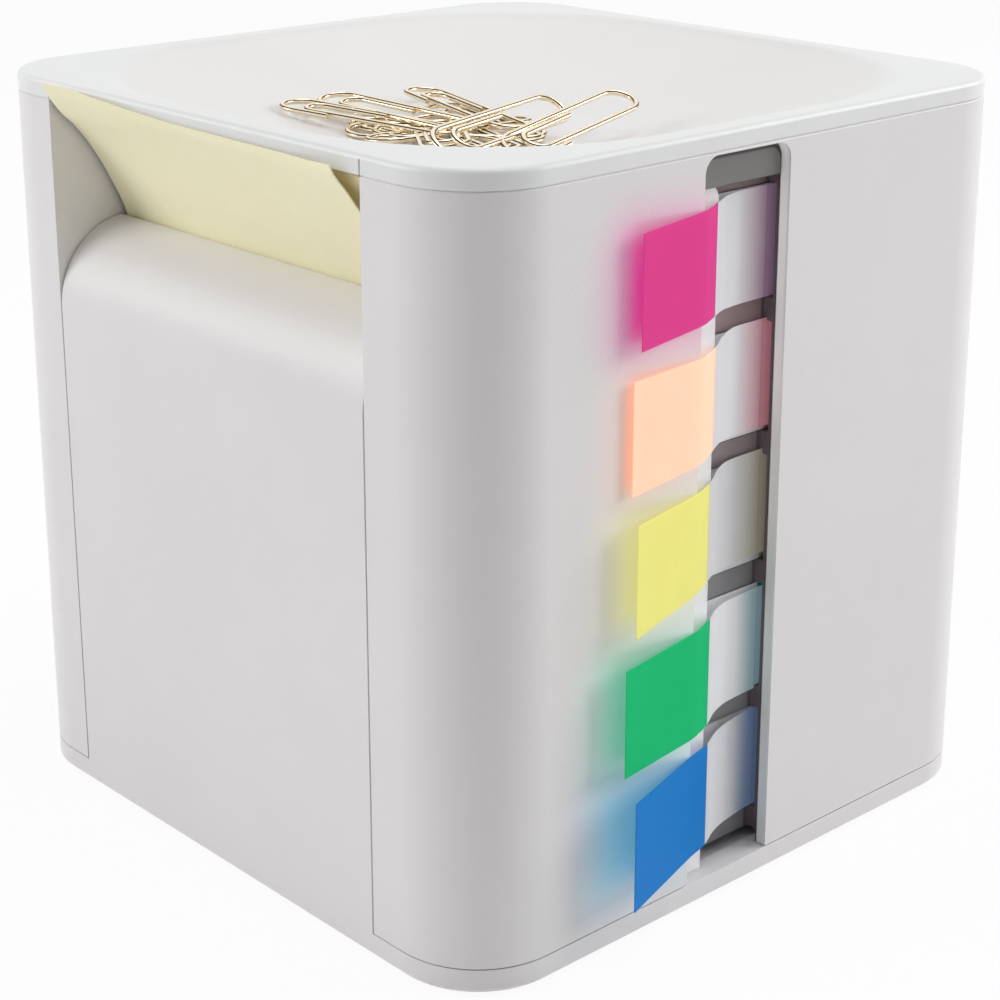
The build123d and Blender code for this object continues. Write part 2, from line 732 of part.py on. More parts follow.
# Flag pads and the five flags that stand out of the slot
pad_face = cassette_left + cassette_wall + 0.2 + flag_pad_thickness
film_x = pad_face + 0.2
lift_point = (side_x + 0.3, slot_left + 2.3)
bend_point = (film_x, -2.5)
for colour, bottom, lift, reach in zip(
    flag_colours, flag_bottoms, flag_tip_lifts, flag_tip_reaches
):
    tip_point = (side_x + lift, slot_left - reach)
    drawn_length = math.dist(bend_point, lift_point) + math.dist(lift_point, tip_point)
    tail_point = (film_x, bend_point[1] + flag_length - drawn_length)
    with BuildPart() as flag_pad:
        block(
            (pad_face - flag_pad_thickness, flag_pad_start, bottom),
            (pad_face, flag_pad_end, bottom + flag_height),
        )
    save(flag_pad.part, f"flag_pad_{colour}")
    with BuildPart() as flag:
        with BuildSketch(Plane.XY.offset(bottom)):
            with BuildLine():
                FilletPolyline(
                    tail_point, bend_point, lift_point, tip_point, radius=list(flag_bend_radii)
                )
                offset(amount=film, side=Side.LEFT)
            make_face()
        extrude(amount=flag_height)
    save(flag.part, f"flag_{colour}")
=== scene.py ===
"""A desk dispenser for sticky notes and film flags, with a paper clip dish in its lid."""
import math

import bmesh
import bpy
from mathutils import Matrix, Vector


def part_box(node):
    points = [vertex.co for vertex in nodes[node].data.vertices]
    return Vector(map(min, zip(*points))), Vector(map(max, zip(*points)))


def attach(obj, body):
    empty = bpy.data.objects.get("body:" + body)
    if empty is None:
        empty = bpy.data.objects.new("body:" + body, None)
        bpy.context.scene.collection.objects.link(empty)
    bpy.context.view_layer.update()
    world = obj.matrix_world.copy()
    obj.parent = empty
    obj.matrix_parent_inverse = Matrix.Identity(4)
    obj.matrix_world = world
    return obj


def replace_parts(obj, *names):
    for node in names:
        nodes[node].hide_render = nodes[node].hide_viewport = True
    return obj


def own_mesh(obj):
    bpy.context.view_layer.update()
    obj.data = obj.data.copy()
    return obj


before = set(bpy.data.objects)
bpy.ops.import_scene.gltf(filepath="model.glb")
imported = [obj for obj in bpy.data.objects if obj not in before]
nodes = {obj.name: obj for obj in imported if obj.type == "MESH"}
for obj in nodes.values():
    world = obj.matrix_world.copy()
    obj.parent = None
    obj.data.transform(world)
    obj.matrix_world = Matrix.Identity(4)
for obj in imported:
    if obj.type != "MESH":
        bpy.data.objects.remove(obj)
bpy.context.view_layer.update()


# Antislip sheet
# A thin sheet of black foam rubber stuck in a recess under the base. Its skin is finely pebbled,
# and it is the only thing that touches the desk.
class Value:
    """One output of a shader tree. Arithmetic on it adds the Math nodes that it needs."""

    def __init__(self, tree, socket):
        self.tree = tree
        self.socket = socket

    def math(self, operation, *terms, clamp=False):
        node = self.tree.nodes.new("ShaderNodeMath")
        node.operation = operation
        node.use_clamp = clamp
        for slot, term in zip(node.inputs, terms):
            if isinstance(term, Value):
                self.tree.links.new(term.socket, slot)
            else:
                slot.default_value = term
        return Value(self.tree, node.outputs[0])

    def __add__(self, other):
        return self.math("ADD", self, other)

    def __radd__(self, other):
        return self.math("ADD", other, self)

    def __sub__(self, other):
        return self.math("SUBTRACT", self, other)

    def __rsub__(self, other):
        return self.math("SUBTRACT", other, self)

    def __mul__(self, other):
        return self.math("MULTIPLY", self, other)

    def __rmul__(self, other):
        return self.math("MULTIPLY", other, self)

    def __pow__(self, power):
        return self.math("POWER", self, power)

    def size(self):
        return self.math("ABSOLUTE", self)

    def at_least(self, low):
        return self.math("MAXIMUM", self, low)

    def over(self, edge):
        return self.math("GREATER_THAN", self, edge)

    def ramp(self, low, high):
        """0 below low, 1 above high, and straight between them."""
        return self.math("MULTIPLY", self - low, 1 / (high - low), clamp=True)


class Finish:
    """A material whose pattern is written as expressions on places and noises."""

    def __init__(self, name, **constants):
        self.material = bpy.data.materials.new(name)
        self.material.use_nodes = True
        self.tree = self.material.node_tree
        self.skin = self.tree.nodes["Principled BSDF"]
        for socket, value in constants.items():
            self.skin.inputs[socket.replace("_", " ")].default_value = value

    def node(self, kind, inputs=None, output=0, **settings):
        """Add one node: its settings first, then the values or links of its sockets."""
        node = self.tree.nodes.new(kind)
        for setting, value in settings.items():
            setattr(node, setting, value)
        for socket, value in (inputs or {}).items():
            if isinstance(value, Value):
                self.tree.links.new(value.socket, node.inputs[socket])
            else:
                node.inputs[socket].default_value = value
        return Value(self.tree, node.outputs[output])

    def place(self):
        """Object coordinates, in metres."""
        return self.node("ShaderNodeTexCoord", output="Object")

    def axes(self):
        """The x, y and z of the place, as three values."""
        split = self.tree.nodes.new("ShaderNodeSeparateXYZ")
        self.tree.links.new(self.place().socket, split.inputs[0])
        return [Value(self.tree, out) for out in split.outputs]

    def noise(self, scale, detail=2.0, roughness=0.5, place=None):
        inputs = {"Vector": place or self.place(), "Scale": scale}
        inputs.update({"Detail": detail, "Roughness": roughness})
        return self.node("ShaderNodeTexNoise", inputs, output="Fac")

    def mix(self, share, low, high):
        """A colour between two colours, each a plain tuple or another mix."""
        low, high = (c if isinstance(c, Value) else (*c, 1.0) for c in (low, high))
        inputs = {0: share, 6: low, 7: high}
        return self.node("ShaderNodeMix", inputs, output=2, data_type="RGBA")

    def feed(self, **links):
        for socket, value in links.items():
            self.tree.links.new(value.socket, self.skin.inputs[socket.replace("_", " ")])

    def relief(self, height, depth, strength=1.0):
        """Raise the surface by up to this depth, in metres, where height goes from 0 to 1."""
        inputs = {"Height": height, "Distance": depth, "Strength": strength}
        self.feed(Normal=self.node("ShaderNodeBump", inputs))

    def lay_over(self, share, shader):
        """Mix another shader over what the surface has, by this share."""
        surface = self.tree.nodes["Material Output"].inputs["Surface"]
        before = Value(self.tree, surface.links[0].from_socket)
        both = self.node("ShaderNodeMixShader", {0: share, 1: before, 2: shader})
        self.tree.links.new(both.socket, surface)

    def lets_through(self, colour, share):
        """Let a share of the light through a thin sheet, scattered and in one colour."""
        self.lay_over(share, self.node("ShaderNodeBsdfTranslucent", {"Color": (*colour, 1.0)}))


def dress(node, finish):
    """Give a CAD node that stays in view its finish."""
    slots = nodes[node].data.materials
    slots.clear()
    slots.append(finish.material)


antislip = Finish("foam_rubber", Specular_IOR_Level=0.3)
pebbles = antislip.node(
    "ShaderNodeTexVoronoi", {"Vector": antislip.place(), "Scale": 900.0}, output="Distance"
)
dust = antislip.noise(140.0, 4.0)
antislip.feed(Base_Color=antislip.mix(dust, (0.014, 0.014, 0.015), (0.045, 0.044, 0.042)))
antislip.feed(Roughness=0.75 + 0.2 * dust)
antislip.relief(pebbles, 0.00012)
dress("antislip_pad", antislip)


# Base tray
# One moulding in white ABS: the floor, the low rim that shows under the cover, the upstand inside
# it, and the front panel, which rolls over into a barrel that the notes are drawn across.
def joined(node):
    """A bmesh of a CAD node with its loose triangles joined into whole faces."""
    form = bmesh.new()
    form.from_mesh(nodes[node].data)
    bmesh.ops.remove_doubles(form, verts=form.verts, dist=2e-6)
    flat = math.radians(0.6)
    bmesh.ops.dissolve_limit(form, angle_limit=flat, verts=form.verts, edges=form.edges)
    return form


def finished(piece, material=None):
    """Apply a piece's modifiers, smooth its faces and give it its material."""
    depsgraph = bpy.context.evaluated_depsgraph_get()
    mesh = bpy.data.meshes.new_from_object(piece.evaluated_get(depsgraph))
    mesh.name = piece.name
    piece.modifiers.clear()
    old = piece.data
    piece.data = mesh
    if old.users == 0 and isinstance(old, bpy.types.Mesh):
        bpy.data.meshes.remove(old)
    if material is not None:
        mesh.materials.clear()
        mesh.materials.append(material)
    return piece


def piece_of(form, name):
    """A new object that holds this bmesh."""
    mesh = bpy.data.meshes.new(name)
    form.to_mesh(mesh)
    form.free()
    piece = bpy.data.objects.new(name, mesh)
    bpy.context.scene.collection.objects.link(piece)
    return piece


def rounded(piece, edge, segments=3, angle=32.0):
    """Round a piece's sharp edges and shade it as one smooth moulding."""
    piece.data.shade_smooth()
    bevel = piece.modifiers.new("edges", "BEVEL")
    bevel.width = edge
    bevel.segments = segments
    bevel.limit_method = "ANGLE"
    bevel.angle_limit = math.radians(angle)
    bevel.miter_outer = "MITER_ARC"
    bevel.use_clamp_overlap = True
    bevel.harden_normals = True
    normals = piece.modifiers.new("normals", "WEIGHTED_NORMAL")
    normals.weight = 90
    normals.keep_sharp = True


def moulding(node, name, body, edge, finish, slot, **rounding):
    """A moulded copy of a CAD node, with rounded edges, that stands for it."""
    piece = piece_of(joined(node), name)
    rounded(piece, edge, **rounding)
    finished(piece, finish.material)
    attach(piece, body)
    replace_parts(piece, node)
    return piece


def white_abs(name, pale, deep, roughness=0.36, **constants):
    """Satin white ABS: a faint mottle, a fine spark-eroded grain and slow flow marks."""
    finish = Finish(name, Specular_IOR_Level=0.45, **constants)
    mottle = finish.noise(38.0, 3.0, 0.55)
    grain = finish.noise(2600.0, 2.0)
    flow = finish.noise(9.0, 1.0)
    share = 0.75 * mottle + 0.25 * flow
    finish.colour = finish.mix(share.ramp(0.3, 0.7), deep, pale)
    finish.feed(Base_Color=finish.colour)
    finish.feed(Roughness=roughness - 0.04 + 0.10 * grain + 0.05 * mottle)
    finish.relief(grain * 0.8 + mottle * 0.2, 0.00003)
    return finish


panel_white = white_abs("panel_abs", (0.790, 0.772, 0.776), (0.765, 0.742, 0.750))
moulding("base_tray", "base_moulding", "base", 0.00035, panel_white, "base_plastic")


# Base screws and lid screws
# Pan head self-tapping screws, zinc plated. Six hold the magazine and the flag cassette to the base
# from below, and four go up through the cover's corner gussets into the lid.
class Tree:
    """A Geometry Nodes tree with named inputs, for what repeats or follows a path."""

    def __init__(self, name, **inputs):
        self.tree = bpy.data.node_groups.new(name, "GeometryNodeTree")
        sockets = [("Geometry", "INPUT", "Geometry"), ("Geometry", "OUTPUT", "Geometry")]
        sockets += [(label, "INPUT", kind) for label, kind in inputs.items()]
        for label, way, kind in [*sockets, ("Material", "INPUT", "Material")]:
            self.tree.interface.new_socket(label, in_out=way, socket_type=f"NodeSocket{kind}")
        self.entry = self.tree.nodes.new("NodeGroupInput")
        self.exit = self.tree.nodes.new("NodeGroupOutput")

    def given(self, label):
        return self.entry.outputs[label]

    def add(self, kind, inputs=None, output=0, **settings):
        node = self.tree.nodes.new(kind)
        for setting, value in settings.items():
            setattr(node, setting, value)
        for socket, value in (inputs or {}).items():
            slot = node.inputs[socket]
            for each in value if isinstance(value, list) else [value]:
                if isinstance(each, bpy.types.NodeSocket):
                    self.tree.links.new(each, slot)
                else:
                    slot.default_value = each
        return node.outputs[output]

    def scaled(self, label, factor):
        """A named input times a plain number."""
        inputs = {0: self.given(label), 1: factor}
        return self.add("ShaderNodeMath", inputs, operation="MULTIPLY")

    def lowered(self, geometry, label, share):
        """Geometry moved down by a share of a named input."""
        shift = self.add("ShaderNodeCombineXYZ", {"Z": self.scaled(label, -share)})
        return self.add("GeometryNodeTransform", {"Geometry": geometry, "Translation": shift})

    def cone(self, sides, bottom, top, height):
        inputs = {"Vertices": sides, "Radius Top": top, "Radius Bottom": bottom, "Depth": height}
        return self.add("GeometryNodeMeshCone", inputs)

    def coil(self, steps, turns, radius, height):
        """A coiled path of one radius, with this many steps to a turn."""
        inputs = {"Resolution": steps, "Rotations": turns, "Height": height}
        inputs.update({"Start Radius": radius, "End Radius": radius})
        return self.add("GeometryNodeCurveSpiral", inputs)

    def wire(self, path, sides, radius):
        """A wire along a path, closed at its ends."""
        around_it = {"Resolution": sides, "Radius": radius}
        outline = self.add("GeometryNodeCurvePrimitiveCircle", around_it)
        inputs = {"Curve": path, "Profile Curve": outline, "Fill Caps": True}
        return self.add("GeometryNodeCurveToMesh", inputs)

    def ends(self, instance, smooth=True, **turns):
        """Stand a copy on each point that was given, realize, shade and set the given material."""
        inputs = {"Points": self.given("Geometry"), "Instance": instance, **turns}
        copies = self.add("GeometryNodeInstanceOnPoints", inputs)
        real = self.add("GeometryNodeRealizeInstances", {"Geometry": copies})
        shaded = self.add("GeometryNodeSetShadeSmooth", {"Geometry": real, "Shade Smooth": smooth})
        inputs = {"Geometry": shaded, "Material": self.given("Material")}
        self.tree.links.new(self.add("GeometryNodeSetMaterial", inputs), self.exit.inputs[0])

    def grow(self, piece, **values):
        """Run the tree on a piece with these sizes, and keep the result as its mesh."""
        modifier = piece.modifiers.new(self.tree.name, "NODES")
        modifier.node_group = self.tree
        for item in self.tree.interface.items_tree:
            if item.in_out == "INPUT" and item.name in values:
                modifier[item.identifier] = values[item.name]
        return finished(piece)


def points_piece(name, places):
    """An object that is only points, at these places in metres."""
    mesh = bpy.data.meshes.new(name)
    mesh.from_pydata([Vector(place) for place in places], [], [])
    piece = bpy.data.objects.new(name, mesh)
    bpy.context.scene.collection.objects.link(piece)
    return piece


head_taper, recess_width, recess_length = 0.80, 0.26, 1.05
thread_turns, thread_wire, core_width, core_tip = 7.0, 0.16, 0.96, 0.55
screw_tree = Tree("pan_screws", Shank="Float", Length="Float", Head="Float", Rise="Float")
head_half, shank_half = screw_tree.given("Head"), screw_tree.given("Shank")
head_rise, shank_length = screw_tree.given("Rise"), screw_tree.given("Length")
head = screw_tree.cone(36, screw_tree.scaled("Head", head_taper), head_half, head_rise)
cut_sides = [screw_tree.scaled("Head", share) for share in (recess_width, recess_length)]
cross = []
for sides in (cut_sides, cut_sides[::-1]):
    cut_size = screw_tree.add("ShaderNodeCombineXYZ", dict(zip("XYZ", (*sides, head_rise))))
    cut = screw_tree.add("GeometryNodeMeshCube", {"Size": cut_size})
    cross.append(screw_tree.lowered(cut, "Rise", 0.5))
recessed = screw_tree.add(
    "GeometryNodeMeshBoolean", {"Mesh 1": head, "Mesh 2": cross}, operation="DIFFERENCE"
)
seated = screw_tree.lowered(recessed, "Rise", 1.0)
thread_path = screw_tree.coil(14, thread_turns, shank_half, shank_length)
thread = screw_tree.wire(thread_path, 4, screw_tree.scaled("Shank", thread_wire))
core_radii = [screw_tree.scaled("Shank", share) for share in (core_width, core_tip)]
core = screw_tree.cone(20, *core_radii, shank_length)
whole = screw_tree.add("GeometryNodeJoinGeometry", {"Geometry": [seated, core, thread]})
screw_tree.ends(whole, smooth=False)

zinc = Finish("zinc_plate", Metallic=1.0)
zinc_cloud = zinc.noise(420.0, 4.0)
zinc.feed(Base_Color=zinc.mix(zinc_cloud, (0.50, 0.51, 0.52), (0.72, 0.72, 0.70)))
zinc.feed(Roughness=0.22 + 0.25 * zinc_cloud)
zinc.relief(zinc.noise(3000.0), 0.00001)


def solid_boxes(node, solids):
    """The lowest and highest corners of each of the solids that make up a CAD node."""
    form = bmesh.new()
    form.from_mesh(nodes[node].data)
    bmesh.ops.remove_doubles(form, verts=form.verts, dist=2e-6)
    left = set(form.verts)
    boxes = []
    while left:
        stack = [left.pop()]
        group = set(stack)
        while stack:
            for edge in stack.pop().link_edges:
                for vertex in edge.verts:
                    if vertex not in group:
                        group.add(vertex)
                        left.discard(vertex)
                        stack.append(vertex)
        spans = list(zip(*(v.co for v in group)))
        boxes.append((Vector([min(span) for span in spans]), Vector([max(span) for span in spans])))
    form.free()
    assert len(boxes) == solids, (node, len(boxes))
    return sorted(boxes, key=lambda box: tuple(box[0]))


def screws(node, name, body, count, shank, head_radius, rise):
    """Screws that stand where a CAD node's screws stand, heads down."""
    boxes = solid_boxes(node, count)
    places = [((a.x + b.x) / 2, (a.y + b.y) / 2, a.z + rise) for a, b in boxes]
    piece = points_piece(name, places)
    length = boxes[0][1].z - boxes[0][0].z - rise
    sizes = {"Shank": shank, "Length": length, "Head": head_radius, "Rise": rise}
    screw_tree.grow(piece, **sizes, Material=zinc.material)
    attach(piece, body)
    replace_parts(piece, node)


screws("base_screws", "base_pan_screws", "base", 6, 0.0013, 0.0028, 0.0014)
screws("lid_screws", "lid_pan_screws", "cover", 4, 0.00112, 0.0024, 0.0016)

# Ballast plate
# A slab of sheared steel plate in the base, zinc plated, that keeps the box down while a note is
# pulled. Its faces keep the rolling marks, and its edges are dull.
ballast_steel = Finish("sheared_steel", Metallic=1.0)
stretched = ballast_steel.node(
    "ShaderNodeMapping", {"Vector": ballast_steel.place(), "Scale": (1.0, 26.0, 26.0)}
)
rolling = ballast_steel.noise(60.0, 5.0, 0.6, stretched)
ballast_steel.feed(Base_Color=ballast_steel.mix(rolling, (0.36, 0.36, 0.37), (0.58, 0.57, 0.55)))
ballast_steel.feed(Roughness=0.3 + 0.3 * rolling)
ballast_steel.relief(rolling, 0.00003)
moulding("ballast_plate", "ballast_slab", "base", 0.0003, ballast_steel, "ballast_steel")

# Note magazine, pressure plate and flag cassette
# Inner mouldings in light grey ABS, left with a plain matt surface: the tray that the pad of notes
# stands in, the ribbed plate that presses it forward, and the upright frame for the flags.
inner_grey = white_abs("inner_abs", (0.50, 0.505, 0.48), (0.46, 0.465, 0.44), 0.55)
moulding("note_magazine", "magazine_moulding", "base", 0.0003, inner_grey, "inner_plastic")
moulding("pusher_plate", "plate_moulding", "pusher", 0.0003, inner_grey, "inner_plastic")
cassette_grey = white_abs("cassette_abs", (0.30, 0.285, 0.285), (0.25, 0.24, 0.24), 0.5)
x, y, z = cassette_grey.axes()
gap_back_x, gap_left_y, gap_shade_y, gap_right_y = 0.0505, -0.0175, 0.0045, 0.0100
# Painted shade and reflected light where the cassette shows through the slot between the flags:
# grey that takes a mauve tint further up, and much darker towards the slot's right side.
between = cassette_grey.mix(z.ramp(0.060, 0.085), (0.275, 0.270, 0.280), (0.350, 0.255, 0.260))
between = cassette_grey.mix(y.over(gap_shade_y), between, (0.16, 0.13, 0.145))
facing_slot = x.over(gap_back_x) * y.over(gap_left_y) * (1 - y.over(gap_right_y))
cassette_grey.feed(Base_Color=cassette_grey.mix(facing_slot, cassette_grey.colour, between))
moulding("flag_cassette", "cassette_moulding", "base", 0.0002, cassette_grey, "inner_plastic")

# Cassette hood
# A small plate, bent from the cassette's top, that closes the slot above the pads of flags. It
# stands inside the slot's outline and stays with the cassette when the cover is lifted.
def add_box(form, low, high):
    """Add a box to a bmesh, given by its lowest and highest corners."""
    low, high = Vector(low), Vector(high)
    for vertex in bmesh.ops.create_cube(form, size=1.0)["verts"]:
        share = zip(vertex.co, high - low)
        vertex.co = (low + high) / 2 + Vector([c * side for c, side in share])


def apart(across, up):
    """The straight distance that two distances at right angles make."""
    return (across * across + up * up) ** 0.5


# The hood's dark grey is painted shade: the plate stands in for the shade at the top of the slot.
hood_shade_finish = white_abs("hood_abs", (0.200, 0.192, 0.188), (0.160, 0.152, 0.150), 0.5)
hood_left, hood_right, hood_top, hood_foot = -0.0152, 0.0031, 0.12335, 0.1183
hood_face, hood_sheet, hood_corner = 0.0600, 0.0004, 0.0025
shelf_back, shelf_left, shelf_sheet = 0.0560, -0.0095, 0.0005
outline = [(hood_left, hood_foot), (hood_right, hood_foot)]
for middle_y, first in ((hood_right - hood_corner, 0), (hood_left + hood_corner, 1)):
    for k in range(9):
        a = math.pi / 2 * (first + k / 8)
        rise = hood_top - hood_corner + hood_corner * math.sin(a)
        outline.append((middle_y + hood_corner * math.cos(a), rise))
hood_form = bmesh.new()
face = hood_form.faces.new([hood_form.verts.new((hood_face, y, z)) for y, z in outline])
raised = bmesh.ops.extrude_face_region(hood_form, geom=[face])["geom"]
for vertex in (v for v in raised if isinstance(v, bmesh.types.BMVert)):
    vertex.co.x += hood_sheet
shelf_high = (hood_face + hood_sheet, hood_right, hood_foot + shelf_sheet)
add_box(hood_form, (shelf_back, shelf_left, hood_foot), shelf_high)
bmesh.ops.recalc_face_normals(hood_form, faces=hood_form.faces)
x, y, z = hood_shade_finish.axes()
# Painted shadow: a near-black band along the hood's top and right edges, round the slot's rounded
# corner.
shade_corner, shade_top = 0.0025, 0.1229
past_y = (y - (hood_right - shade_corner)).at_least(0.0)
past_z = (z - (shade_top - shade_corner)).at_least(0.0)
shaded = apart(past_y, past_z).ramp(shade_corner - 0.0004, shade_corner - 0.0001)
hood_shade_finish.feed(Base_Color=hood_shade_finish.mix(shaded * 0.85, hood_shade_finish.colour, (0.02, 0.015, 0.02)))
hood = piece_of(hood_form, "cassette_hood")
rounded(hood, 0.0001, segments=2)
finished(hood, hood_shade_finish.material)
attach(hood, "base")

# Guide rod and its ring
# A turned steel rod, pressed into the plate, that slides through the magazine's bulkhead. A spring
# steel ring in its groove stops it from coming right through.
moulding("guide_rod", "turned_rod", "pusher", 0.0001, zinc, "fixing_steel")
moulding("rod_clip", "rod_ring", "pusher", 0.0001, zinc, "fixing_steel")

# Spring round the rod
# Music wire, wound open, that pushes the plate and the pad of notes forward against the barrel.
spring_wire = 0.0008
spring_turns = 5.0
spring_low, spring_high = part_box("pusher_spring")
spring_tree = Tree("open_coil", Turns="Float", Coil="Float", Wire="Float", Height="Float")
turns, coil_radius, wire_radius, coil_height = (
    spring_tree.given(label) for label in ("Turns", "Coil", "Wire", "Height")
)
coil = spring_tree.wire(spring_tree.coil(40, turns, coil_radius, coil_height), 12, wire_radius)
quarter = math.pi / 2
towards_back = {"Geometry": coil, "Rotation": (-quarter, 0.0, 0.0)}
spring_tree.ends(spring_tree.add("GeometryNodeTransform", towards_back))
music_wire = Finish("music_wire", Metallic=1.0)
drawn = music_wire.noise(900.0, 3.0)
music_wire.feed(Base_Color=music_wire.mix(drawn, (0.42, 0.42, 0.42), (0.66, 0.65, 0.62)))
music_wire.feed(Roughness=0.18 + 0.2 * drawn)
spring_middle = (spring_low + spring_high) / 2
spring_start = (spring_middle.x, spring_low.y + spring_wire / 2, spring_middle.z)
spring = points_piece("plate_spring", [spring_start])
spring_tree.grow(
    spring,
    Turns=spring_turns,
    Coil=(spring_high.z - spring_low.z - spring_wire) / 2,
    Wire=spring_wire / 2,
    Height=spring_high.y - spring_low.y - spring_wire,
    Material=music_wire.material,
)
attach(spring, "base")
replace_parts(spring, "pusher_spring")
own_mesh(spring)

# Pad of notes and pads of flags
# Each pad is a stack of cut sheets that stick together along one edge, so their other edges show as
# fine uneven lines. The notes are pale yellow paper, the flags clear film with a white body.
vectors = {label: "Vector" for label in ("Step", "Leaf", "Slip")}
leaf_tree = Tree("cut_leaves", Leaves="Int", **vectors, Seed="Int")
row = leaf_tree.add(
    "GeometryNodeMeshLine",
    {"Count": leaf_tree.given("Leaves"), "Offset": leaf_tree.given("Step")},
    mode="OFFSET",
)
back_slip = leaf_tree.add(
    "ShaderNodeVectorMath", {0: leaf_tree.given("Slip"), "Scale": -1.0}, operation="SCALE"
)
slip = leaf_tree.add(
    "FunctionNodeRandomValue",
    {"Min": back_slip, "Max": leaf_tree.given("Slip"), "Seed": leaf_tree.given("Seed")},
    data_type="FLOAT_VECTOR",
)
uneven = leaf_tree.add("GeometryNodeSetPosition", {"Geometry": row, "Offset": slip})
leaf = leaf_tree.add("GeometryNodeMeshCube", {"Size": leaf_tree.given("Leaf")})
stack = leaf_tree.add("GeometryNodeInstanceOnPoints", {"Points": uneven, "Instance": leaf})
one_stack = leaf_tree.add("GeometryNodeRealizeInstances", {"Geometry": stack})
leaf_tree.ends(one_stack, smooth=False)


def leaves(node, name, axis, count, slip_size, finish, seed):
    """A stack of separate leaves that fills a CAD pad, stacked along one axis."""
    low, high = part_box(node)
    size = high - low
    step = Vector((0, 0, 0))
    step[axis] = size[axis] / count
    size[axis] = step[axis] * 0.8
    slip = Vector((slip_size,) * 3)
    slip[axis] = 0.0
    start = (low + high) / 2
    start[axis] = low[axis] + step[axis] / 2
    piece = points_piece(name, [start])
    sizes = {"Leaves": count, "Step": step, "Leaf": size - 2 * slip, "Slip": slip}
    leaf_tree.grow(piece, **sizes, Seed=seed, Material=finish.material)
    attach(piece, "base")
    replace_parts(piece, node)


def note_paper(name, pale, deep, **constants):
    """Uncoated yellow note paper: a soft cloudy formation and a fine fibre grain."""
    finish = Finish(name, Specular_IOR_Level=0.15, **constants)
    cloud = finish.noise(120.0, 5.0, 0.6)
    fibre = finish.noise(1800.0, 3.0, 0.65)
    share = (0.6 * cloud + 0.4 * fibre).ramp(0.3, 0.7)
    finish.feed(Base_Color=finish.mix(share, deep, pale))
    finish.feed(Roughness=0.78 + 0.15 * fibre)
    finish.relief(fibre, 0.00002)
    return finish


canary = note_paper("canary_paper", (0.905, 0.860, 0.590), (0.870, 0.815, 0.535))
leaves("note_pad", "note_leaves", 1, 48, 0.00012, canary, 3)

flag_colours = {
    "pink": (0.770, 0.068, 0.340),
    "peach": (1.000, 0.710, 0.545),
    "yellow": (0.900, 0.870, 0.320),
    "green": (0.004, 0.630, 0.240),
    "blue": (0.004, 0.255, 0.670),
}
film_deep, film_pale = (0.89, 0.89, 0.91), (0.95, 0.95, 0.97)
dyed_end = 0.0060
for seed, (colour, rgb) in enumerate(flag_colours.items()):
    # Every second flag lies the other way round, so the pad's far end shows dyed ends
    pad_film = Finish(f"pad_film_{colour}", Specular_IOR_Level=0.4)
    pad_cloud = pad_film.noise(160.0, 3.0)
    white = pad_film.mix(pad_cloud, film_deep, film_pale)
    dyed = [0.6 * c + 0.02 for c in rgb]
    pad_film.feed(Base_Color=pad_film.mix(pad_film.axes()[1].over(dyed_end), white, dyed))
    pad_film.feed(Roughness=0.30 + 0.15 * pad_cloud)
    pad, stack = f"flag_pad_{colour}", f"flag_leaves_{colour}"
    leaves(pad, stack, 0, 14, 0.0001, pad_film, seed)

# The note that stands out
# One sheet of the pad, popped up over the barrel's lip and leaning out under the lid. It bows
# forward as it rises, and its two side edges don't lie alike, because it was pulled at a slant.
note_thickness = 0.0002
note_rows = [
    # left edge y, z, then right edge y, z
    (-0.0479, 0.0530, -0.0479, 0.0545),
    (-0.0479, 0.0900, -0.0479, 0.0900),
    (-0.0480, 0.0985, -0.0480, 0.0985),
    (-0.0484, 0.1025, -0.0484, 0.1025),
    (-0.0496, 0.1060, -0.0497, 0.1055),
    (-0.0512, 0.1092, -0.0518, 0.1085),
    (-0.0530, 0.1126, -0.0545, 0.1120),
    (-0.0553, 0.1162, -0.0571, 0.1154),
    (-0.0579, 0.1195, -0.0595, 0.1186),
    (-0.0602, 0.1217, -0.0614, 0.1212),
]
note_top = [
    # along the top edge from the left corner: its share of the width, y and z
    (0.00, -0.0636, 0.12705),
    (0.10, -0.0631, 0.12685),
    (0.20, -0.0628, 0.12620),
    (0.34, -0.0626, 0.12555),
    (0.45, -0.0625, 0.12515),
    (0.57, -0.0625, 0.12505),
    (0.71, -0.0625, 0.12495),
    (0.83, -0.0626, 0.12490),
    (0.92, -0.0632, 0.12495),
    (1.00, -0.0643, 0.12540),
]
note_left_x, note_right_x = -0.0404, 0.0358
note_ceiling = 0.1238
note_columns, note_steps = 24, 60
flat_share = 0.4
bow_forward, bow_up = 0.0006, 0.0003


def spread(points, count):
    """Points along a smooth line through these points, by one cubic for each span."""
    padded = [2 * points[0] - points[1], *points, 2 * points[-1] - points[-2]]
    spans = len(points) - 1
    result = []
    for n in range(count + 1):
        whole = n / count * spans
        span = min(int(whole), spans - 1)
        t = whole - span
        a, b, c, d = padded[span : span + 4]
        result.append(
            0.5 * (2 * b + (c - a) * t + (2 * a - 5 * b + 4 * c - d) * t**2
                   + (3 * b - a - 3 * c + d) * t**3)
        )
    return result


def sheet_form(columns):
    """A bmesh sheet through columns of points, each as long as the others."""
    form = bmesh.new()
    grid = [[form.verts.new(point) for point in column] for column in columns]
    for left, right in zip(grid, grid[1:]):
        for corners in zip(left, right, right[1:], left[1:]):
            form.faces.new(corners)
    bmesh.ops.recalc_face_normals(form, faces=form.faces)
    return form


def thicken(piece, thickness, material):
    """Give a sheet its thickness, on both sides of its surface, with crisp cut edges."""
    solidify = piece.modifiers.new("thickness", "SOLIDIFY")
    solidify.thickness = thickness
    solidify.offset = 0.0
    solidify.use_even_offset = True
    finished(piece, material)
    piece.data.shade_smooth()
    piece.data.set_sharp_from_angle(angle=math.radians(40))


